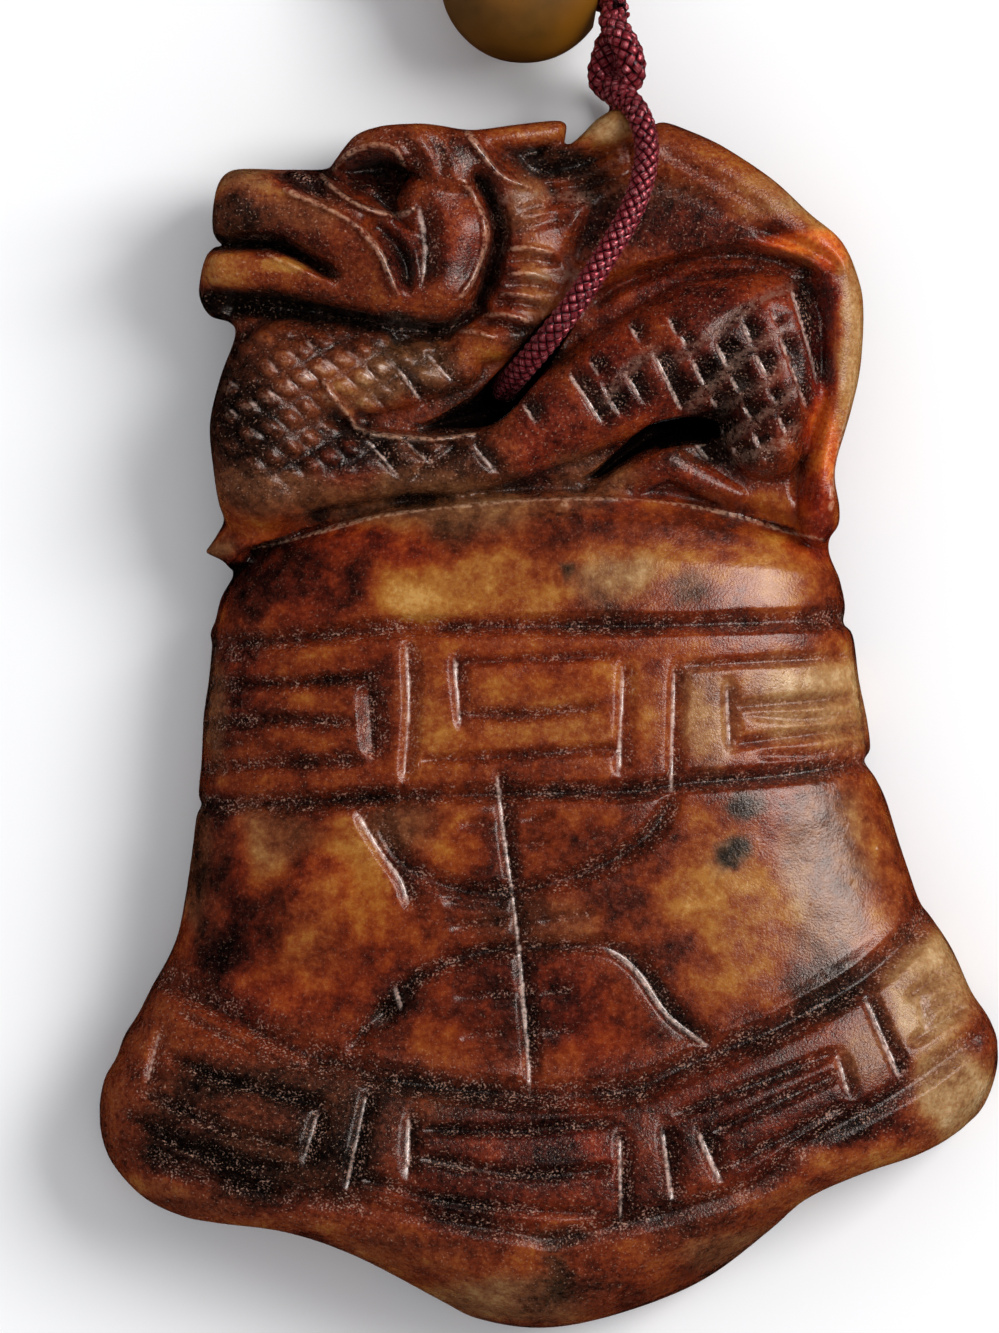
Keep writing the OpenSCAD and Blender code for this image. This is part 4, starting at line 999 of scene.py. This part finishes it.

# Tints of the stone: how light from black over red and orange to amber, how olive and how red. Then where
# each lies: across and up in steps, half width, half height and strength. A few patches paint sheen,
# reflection or shade rather than the stone's own tint; each is marked where it stands.
OLIVE, AMBER, HONEY, ORANGE = (.60, .75, 0), (.84, .05, 0), (.70, .1, 0), (.56, 0, .15)
RUST, CHESTNUT, OXBLOOD, MAROON = (.47, 0, 0), (.37, 0, 0), (.28, 0, .5), (.20, 0, .25)
UMBER, TAN, GLOW, SMOKE = (.13, .35, 0), (.78, .22, 0), (.75, 0, 1), (.10, 1, 0)
# the last of these, near black, is painted shade below the jaw
SCARLET, DUSK, PALE, UNDER_JAW_SHADE = (.42, 0, .9), (.50, .7, 0), (.85, .6, 0), (.04, .2, 0)
PATCHES = [
    # dome of the bell
    (44, 76, 34, 6, RUST, 1), (19, 74, 9, 4.6, MAROON, .95), (15, 71.5, 5, 2.5, CHESTNUT, .25),
    (33.5, 74.6, 6.5, 3.4, AMBER, .9), (38, 77, 5, 2.4, HONEY, .7), (44, 73, 5, 3, HONEY, .5),
    (27, 78.5, 7, 1.6, OXBLOOD, .8), (40, 81, 12, 1.6, CHESTNUT, .7), (62, 76, 9, 3.4, AMBER, .5),
    (66, 75, 7, 3, ORANGE, .6), (70, 73.5, 5, 3.2, RUST, .8), (56, 79, 10, 2, CHESTNUT, .55),
    (52, 74, 4, 2.6, OLIVE, .7), (48, 77.5, 5, 2.2, HONEY, .5), (66, 73, 6, 2.4, HONEY, .4),
    (71.5, 78.2, 3.6, 1.8, SCARLET, .6), (47, 75.4, 1.5, 0.9, SMOKE, .8),
    (59.3, 73.4, 1.8, 1.6, SMOKE, .5),
    # upper band
    (43, 62, 36, 8.5, ORANGE, 1), (20, 62, 11, 6.5, CHESTNUT, .95), (13, 64, 4, 5, OXBLOOD, .45),
    (33.6, 61, 3.4, 6.5, HONEY, .75), (43, 63, 8, 3, RUST, .35), (44, 60, 7, 4, HONEY, .7),
    # the DUSK strip at the left edge on the next line is a painted reflection on the flank
    (36, 66, 4, 2, CHESTNUT, .5), (11.4, 62, 1.3, 6.5, DUSK, .7), (55, 61, 3, 6, HONEY, .55),
    (60, 60, 2.6, 6, OLIVE, .6), (69, 62, 8, 5, DUSK, .5), (68, 59.5, 5, 3, ORANGE, .5),
    # PALE on the band's right end is painted sheen on its lit side
    (70, 63, 7, 5, PALE, .75), (75, 64, 3, 6, TAN, .55),
    # body of the bell
    (42, 42, 36, 15, CHESTNUT, 1), (19, 42, 10, 10, CHESTNUT, .6), (25, 47.5, 5, 5, AMBER, .9),
    (27, 41, 4, 5, ORANGE, .7), (22, 44, 3, 3, SCARLET, .4), (21.5, 41.5, 2.6, 4, HONEY, .6),
    (22, 34.6, 4, 2.6, SCARLET, .5), (16, 49, 5, 3.4, OLIVE, .45), (21, 36.5, 5, 4, HONEY, .5),
    # the DUSK strip at the left edge on the next line is a painted reflection on the flank
    (11.5, 44, 3.4, 9, OXBLOOD, .75), (9.8, 46, 1.3, 7, DUSK, .7), (11.4, 44, 2.2, 8, UMBER, .45),
    (15.4, 41, 2.4, 3.4, MAROON, .6), (27, 35, 3.4, 3.4, MAROON, .55), (16, 34.5, 5, 2.6, OXBLOOD, .6),
    (30.5, 50.5, 4, 2.4, OLIVE, .55), (36, 49, 4, 4, ORANGE, .5), (38, 52, 6, 1.6, HONEY, .4),
    (45, 50, 5, 3.6, RUST, .45), (38, 34, 9, 5, MAROON, .5), (50, 30.5, 7, 6, OXBLOOD, .6),
    (55, 33, 3.4, 3.4, RUST, .6), (44, 41, 7, 3.4, DUSK, .35), (46, 36, 6, 3, MAROON, .6),
    (61, 44, 6.5, 8, HONEY, .75), (60.5, 44, 3.6, 4.6, AMBER, .4), (65, 37, 5, 5, HONEY, .5),
    # DUSK at the body's right on the next line is painted sheen on its lit side
    (58, 37.5, 3, 4, CHESTNUT, .6), (72.5, 45, 4, 10, DUSK, .75), (78, 44, 2.6, 8, TAN, .35),
    (63.3, 47.6, 1.9, 1.7, SMOKE, .85), (64.6, 52.8, 2.2, 1.6, SMOKE, .6), (31.4, 29, 5, 3, RUST, .5),
    (24, 30.5, 4, 2.4, ORANGE, .5), (73, 35, 5, 2.6, UMBER, .6),
    # skirt and hem
    (20, 21, 19, 7, UMBER, .92), (44, 17, 17, 6, MAROON, .85), (70, 22, 14, 7, MAROON, .9),
    # PALE at the skirt's right on the next line is painted sheen on its lit side
    (82, 31, 5, 5, UMBER, .6), (84, 33, 5, 7, PALE, .85), (75.5, 28.5, 2.4, 3.2, OLIVE, .6),
    (30, 19, 4, 6, CHESTNUT, .55), (54.5, 17, 2, 6, CHESTNUT, .6), (47, 19, 6, 1.6, SCARLET, .35),
    (15, 22, 8, 2, CHESTNUT, .45), (6, 16, 7, 3.4, CHESTNUT, .85), (16, 12, 9, 2.6, CHESTNUT, .9),
    (26, 9.4, 8, 2.8, CHESTNUT, .8), (9, 13.6, 9, 2.0, UMBER, .35), (30, 7.8, 9, 2.4, UMBER, .42),
    (60, 8.4, 7, 2.6, UMBER, .42), (69, 12, 9, 2.4, UMBER, .3), (34, 6.4, 6, 3, RUST, .8),
    (42, 3.2, 9, 2.8, DUSK, .7), (52, 4.4, 6, 3.4, CHESTNUT, .7), (60, 7.5, 6, 3, CHESTNUT, .8),
    # PALE at the right end of the hem on the next line is painted sheen
    (67, 12, 5, 3, CHESTNUT, .8), (76, 17.6, 7, 2.6, HONEY, .8), (85, 23.4, 6, 4, PALE, .95),
    (3, 22, 2, 4, RUST, .7), (5, 14.6, 5, 1.6, HONEY, .6), (17, 11, 8, 1.2, HONEY, .5),
    (29, 7.4, 7, 1.4, HONEY, .55), (70, 13, 8, 1.6, HONEY, .6), (63, 8, 6, 1.6, OLIVE, .5),
    (45.5, 6, 1.2, 3, SMOKE, .45), (46, 9.4, 3, 1, UMBER, .6),
    # head of the dragon
    (26, 110, 17, 10, CHESTNUT, 1), (16, 113.6, 5, 2.6, HONEY, .85), (15, 114.4, 3, 1.6, OLIVE, .55),
    (20, 111, 5, 2.4, RUST, .7), (19, 111, 5, 2, DUSK, .35), (13.4, 110.6, 2.8, 2.6, UMBER, .9),
    (19, 108.4, 5, 1.4, MAROON, .7), (13, 105.6, 3.4, 2.4, HONEY, .75), (20, 104.6, 5, 1.8, RUST, .8),
    # UMBER under the lower jaw on the next line is painted shade
    (28, 105, 4, 3.4, RUST, .9), (16.5, 102, 6, 1.6, UMBER, .95), (30, 118.6, 5, 1.8, HONEY, .4),
    (35, 116, 3, 3, CHESTNUT, .7), (27.8, 115.1, 4.4, 2.3, MAROON, .95), (36, 108, 3, 5, OXBLOOD, .6),
    (35, 103, 4, 1.8, RUST, .8), (30.8, 107.2, 2.2, 4.6, MAROON, .95),
    (20.2, 114.4, 3.4, 1.2, MAROON, .95), (39, 118.6, 3, 1.6, ORANGE, .6),
    (43.6, 119.8, 4, 1.2, RUST, .8), (51.6, 120.2, 3.0, 2.2, TAN, .9), (48.6, 118.2, 2.6, 1.2, HONEY, .6),
    # PALE on the mane on the next line is painted glint on its ribs
    (46, 115.4, 6, 1.8, UMBER, .75), (43, 105, 4, 8, OXBLOOD, .6), (44, 104, 2.4, 5, PALE, .5),
    (42, 111, 3, 3, DUSK, .6), (19.2, 106.2, 2.6, .8, AMBER, .85),
    # neck, coil and back
    (24, 91, 15, 9, UMBER, .9), (20, 93, 7, 5, TAN, .45), (24, 95, 6, 4, TAN, .4),
    (27.5, 92.4, 3.4, 2.2, TAN, .8), (27.2, 92.5, 3.4, 2.4, PALE, .35), (30, 95, 5, 3, DUSK, .45),
    (16, 88, 3, 6, UMBER, .5), (32, 91, 4, 1.8, RUST, .75), (30, 84.6, 18, 4, UMBER, .7),
    (28, 84, 8, 2.4, CHESTNUT, .4), (24, 84, 4, 2.4, OXBLOOD, .4), (45, 90, 5, 5, OXBLOOD, .85),
    (60, 97, 12, 10, OXBLOOD, .92), (57, 100.6, 5, 2.6, ORANGE, .5), (57, 96.4, 3, 3, RUST, .55),
    (60.2, 95.2, 1.4, 1.2, ORANGE, .6), (64, 92, 6, 5, MAROON, .7), (50, 90, 4, 4, MAROON, .5),
    (57, 84.6, 12, 2.6, OXBLOOD, .6), (50, 85.8, 6, 2.8, DUSK, .65), (62, 86.6, 5, 1.6, UMBER, .6),
    (57, 110, 10, 3.4, MAROON, .9), (54, 113.4, 7, 2, UMBER, .6), (66, 109, 5, 2.2, MAROON, .6),
    (60.4, 116.6, 5, 2.2, RUST, .85), (66.5, 113, 5, 3, TAN, .9), (68, 113, 4.4, 2.4, PALE, .65),
    (72, 109.6, 3, 2.4, TAN, .8), (65.6, 113.4, 3, 1.6, ORANGE, .4), (75, 100, 2, 10, TAN, .85),
    (75, 98, 1.6, 8, PALE, .4), (74.4, 88, 1.6, 5, HONEY, .7), (73, 106.4, 1.8, 1.2, GLOW, .95),
    (70, 107.7, 4.2, 1.3, GLOW, 1), (72.0, 98, 1.9, 8, SCARLET, .95), (71.8, 88, 2.0, 5.5, GLOW, .95),
    (71.2, 82, 2.6, 2.4, SCARLET, .9), (12.4, 78, 2, 1.4, OLIVE, .7), (46.6, 82.5, 1.2, 1, PALE, .5),
    (28, 80.6, 3, 1, TAN, .3), (41.6, 82.6, .9, .6, ORANGE, .9), (50.8, 119.4, 3, 1.8, PALE, .7),
    (43, 118.6, 4, 1.4, HONEY, .4), (28, 83.8, 17, 3.0, DUSK, .7), (20, 83, 7, 2.4, UMBER, .4),
    (31, 96.4, 5, 3.2, DUSK, .65), (29, 91, 5, 1.6, ORANGE, .6), (24, 87, 4, 3, OXBLOOD, .5),
    # the first patch on the next line is the cord's painted shadow beside the slot, and the other two paint
    # shade below the jaw
    (44, 98.4, 3, 2.6, UMBER, .9), (16.5, 101.9, 6, 2.0, UNDER_JAW_SHADE, .95), (26, 100.6, 6, 0.9, UNDER_JAW_SHADE, .7),
]


def stain_map():
    """The stone's tint over each cell, with the painted sheen and shade of some patches: the patches, one
    on another, with uneven borders.
    """
    colour = np.empty(GX.shape + (3,))
    colour[:] = RUST
    shift_x, shift_y = (1.9 * uneven(3.2, seed) + 0.9 * uneven(1.1, seed + 1)
                        + 0.35 * uneven(0.4, seed + 2) for seed in (21, 24))
    for x, y, wide, high, tint, strength in PATCHES:
        ease = min(1.0, 0.35 + min(wide, high) / 6)
        reach_x, reach_y = wide * 1.5 + 2, high * 1.5 + 2
        i = slice(*np.searchsorted(GX[:, 0], (x - reach_x, x + reach_x)))
        j = slice(*np.searchsorted(GY[0], (y - reach_y, y + reach_y)))
        d = np.hypot((GX[i, j] - x + ease * shift_x[i, j]) / wide,
                     (GY[i, j] - y + ease * shift_y[i, j]) / high)
        share = np.clip((1.3 - d) / 0.75, 0, 1)
        share = (strength * share * share * (3 - 2 * share))[..., None]
        colour[i, j] = colour[i, j] * (1 - share) + np.array(tint) * share
    return colour


def mark(mesh):
    """Writes the stains with some painted sheen and shade, the cuts, the dirt and painted shade, the
    painted glints, the dust, the hollows and the worn, partly highlighted crests on the points of the skin.
    """
    points = np.empty(len(mesh.vertices) * 3, np.float32)
    mesh.vertices.foreach_get("co", points)
    points = points.reshape(-1, 3) / MM
    depth = read_at(height, points) - points[:, 2]
    on_front = np.clip(1 - depth / 1.2, 0, 1)
    near_slot = read_at(np.minimum(pierced, pierced_behind), points)
    # inside a slot the hollow is raised over 1, which the material paints dark as shade
    in_hole = np.clip((0.9 - near_slot) / 0.3, 0, 1) * np.clip(depth - 0.15, 0, 1)
    tint = np.ones((len(points), 4), np.float32)
    tint[:, :3] = np.clip(read_at(stain_map(), points), 0, 1)
    mesh.attributes.new("tint", "FLOAT_COLOR", "POINT").data.foreach_set("color", tint.ravel())
    for name, field in (("cut", cut_map), ("dirt", dirt_and_shade_map), ("bruise", painted_glint_map),
                        ("dust", dust_map), ("hollow", hollow_map), ("crest", crest_map),
                        ("carved", carved_map)):
        value = read_at(field, points) * on_front
        if name == "hollow":
            value = np.maximum(value, 1.6 * in_hole)
        mesh.attributes.new(name, "FLOAT", "POINT").data.foreach_set("value", value.astype(np.float32))


carved_map = np.clip(wornness + np.clip((GY - crown_y - 0.5) / 1.5, 0, 1)
                     + np.clip((27 - GY + 0.28 * np.abs(GX - middle_x)) / 4, 0, 0.8), 0, 1)
mark(stone_skin_mesh)


def jade(start):
    """Waxed brown stone: clouded and grainy, darker in the hollows as painted shade, chalky in the cuts. A
    hollow above 1 is the inside of a slot, painted dark as shade."""
    def shade(*codes):
        stops = [(i / (len(codes) - 1), ink(code)) for i, code in enumerate(codes)]
        return start.node("ShaderNodeValToRGB", {"stops": stops}, {"Fac": tone})

    cut, dirt, hollow, crest, carved, bruise, dust = (start.given(name) for name in (
        "cut", "dirt", "hollow", "crest", "carved", "bruise", "dust"))
    tint = start.given("tint", 0)
    tone, olive, blood = (start.node("ShaderNodeSeparateColor", {}, {0: tint}, out=i)
                          for i in range(3))
    place = start.place()
    cloud = start.noise(place, 0.28, 3.0, 0.5)
    blotch = start.noise(place, 1.1, 4.0, 0.6)
    grain = start.noise(place, 3.6, 4.0, 0.62)
    fine = start.noise(place, 8.0, 2.0)
    # lighter on convex places and on crests: partly wear, partly painted highlight
    worn = (0.0 - hollow).between(0.12, 0.5) * 0.5 + crest.between(0.5, 0.95) * 0.4
    tone = tone + (cloud - 0.5) * (1.05 - carved * 0.35) + (blotch - 0.5) * (0.55 - carved * 0.15)
    tone = tone + (grain - 0.5) * (0.46 + carved * 0.2)
    # painted shade: darker in the recesses, and much darker inside the slots, where the surface is also
    # made metallic so that it reflects only its dark colour
    recess_shade = hollow.between(0.05, 0.8) * (1.0 - blood * 0.8)
    tone = tone - recess_shade * 0.17 - hollow.between(1.0, 1.5) * 0.5
    # dirt and painted shade darken the grooves, patchily; the cuts are a little darker, and the worn
    # places, partly painted highlight, a little lighter
    patchy_dirt_and_shade = dirt * blotch.between(0.3, 0.6)
    tone = tone - dirt * 0.06 - patchy_dirt_and_shade * 0.13 - cut * 0.04 + worn * 0.1
    warm = shade("#0d0403", "#290d07", "#4b1708", "#6c250a", "#843a0f", "#965619", "#a66b26", "#bd8a44")
    green = shade("#090806", "#1f170d", "#3c2d1a", "#57432a", "#71593a", "#8b7350", "#a58e6c", "#bfae92")
    red = shade("#0f0203", "#2f0606", "#56100a", "#7c1c0a", "#9c300c", "#b84c12", "#cc6a20", "#d88838")
    colour = start.mixed(blood, start.mixed(olive, warm, green), red)
    colour = start.mixed(fine.between(0.36, 0.27) * (0.16 + carved * 0.1), colour, ink("#120706"))
    # pale tan on worn places and crests: partly wear, partly painted highlight
    colour = start.mixed(worn * grain.between(0.4, 0.58) * 0.45, colour, ink("#b08560"))
    chalk = cut.between(0.1, 0.5) * fine.between(0.52, 0.64) * blotch.between(0.46, 0.58)
    # pale crests of ribs and neck blocks: partly their own colour, partly painted glint
    colour = start.mixed(crest.between(0.4, 0.9) * grain.between(0.36, 0.64) * 0.36, colour, ink("#c8a288"))
    colour = start.mixed(dust * grain.between(0.36, 0.6) * 0.6, colour, ink("#6f5648"))
    colour = start.mixed(chalk * 0.52, colour, ink("#bb8f7c"))
    # painted glint on the lit walls of cuts, pits and neck blocks
    colour = start.mixed(bruise.between(0.15, 0.7) * (0.15 + grain.between(0.36, 0.62) * 0.65), colour,
                         ink("#d8b8aa"))
    # fine pale specks: partly grain, partly painted sparkle
    colour = start.mixed(fine.between(0.61, 0.72) * (0.14 + carved * 0.34), colour, ink("#c0947a"))
    rough = 0.21 + grain.between(0.4, 0.7) * 0.08 + carved * 0.06 + hollow.between(1.0, 1.5) * 0.5
    return {"Base Color": colour, "Roughness": rough,
            "Normal": start.bumped(grain * 0.35 + fine * 0.65, 0.07, 0.35 + carved * 0.5),
            "Metallic": hollow.between(1.0, 1.4) * 0.95,
            "Coat Weight": bruise.between(0.1, 0.5) + crest.between(0.4, 0.9) * 0.6}


waxed_jade = surface("waxed_jade", jade, {
    "IOR": 1.52, "Specular Tint": (1.0, 0.88, 0.82, 1), "Subsurface Weight": 0.2,
    "Subsurface Radius": (1.0, 0.30, 0.12), "Subsurface Scale": 0.9 * MM, "Coat Roughness": 0.15})

stone = bpy.data.objects.new("carved_stone", stone_skin_mesh)
bpy.context.scene.collection.objects.link(stone)
stone_skin_mesh.materials.clear()
stone_skin_mesh.materials.append(waxed_jade)
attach(stone, "root")
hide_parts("stone")

# Table and light. A plain white board lies under the pendant, one large soft window stands
# high on the right, and the room all round is pale.
half = 3
table_mesh = bpy.data.meshes.new("table")
table_mesh.from_pydata([(-half, -half, 0), (half, -half, 0), (half, half, 0), (-half, half, 0)],
                       [], [(0, 1, 2, 3)])
table = bpy.data.objects.new("table", table_mesh)
bpy.context.scene.collection.objects.link(table)
table.visible_glossy = False


def white_board(start):
    tone = start.noise(start.place(), 0.02, 3.0)
    return {"Base Color": start.mixed(tone, (0.90, 0.90, 0.905), (0.93, 0.93, 0.93))}


table_mesh.materials.append(surface("white_board", white_board, {
    "Roughness": 0.7, "Specular IOR Level": 0.2}))
window_at, window_size, window_watts = Vector((0.44, 0.21, 0.51)), 0.36, 4.1
lamp_data = bpy.data.lights.new("window", "AREA")
lamp_data.size, lamp_data.energy = window_size, window_watts
lamp = bpy.data.objects.new("window", lamp_data)
lamp.location = window_at
lamp.rotation_euler = (-window_at).to_track_quat("-Z", "Y").to_euler()
bpy.context.scene.collection.objects.link(lamp)
world = bpy.data.worlds.new("pale_room")
world.use_nodes = True
world.node_tree.nodes["Background"].inputs["Color"].default_value = (0.96, 0.97, 1.0, 1)
world.node_tree.nodes["Background"].inputs["Strength"].default_value = 0.62
world.cycles_visibility.glossy = False
bpy.context.scene.world = world
bpy.context.scene.view_settings.view_transform = "Standard"
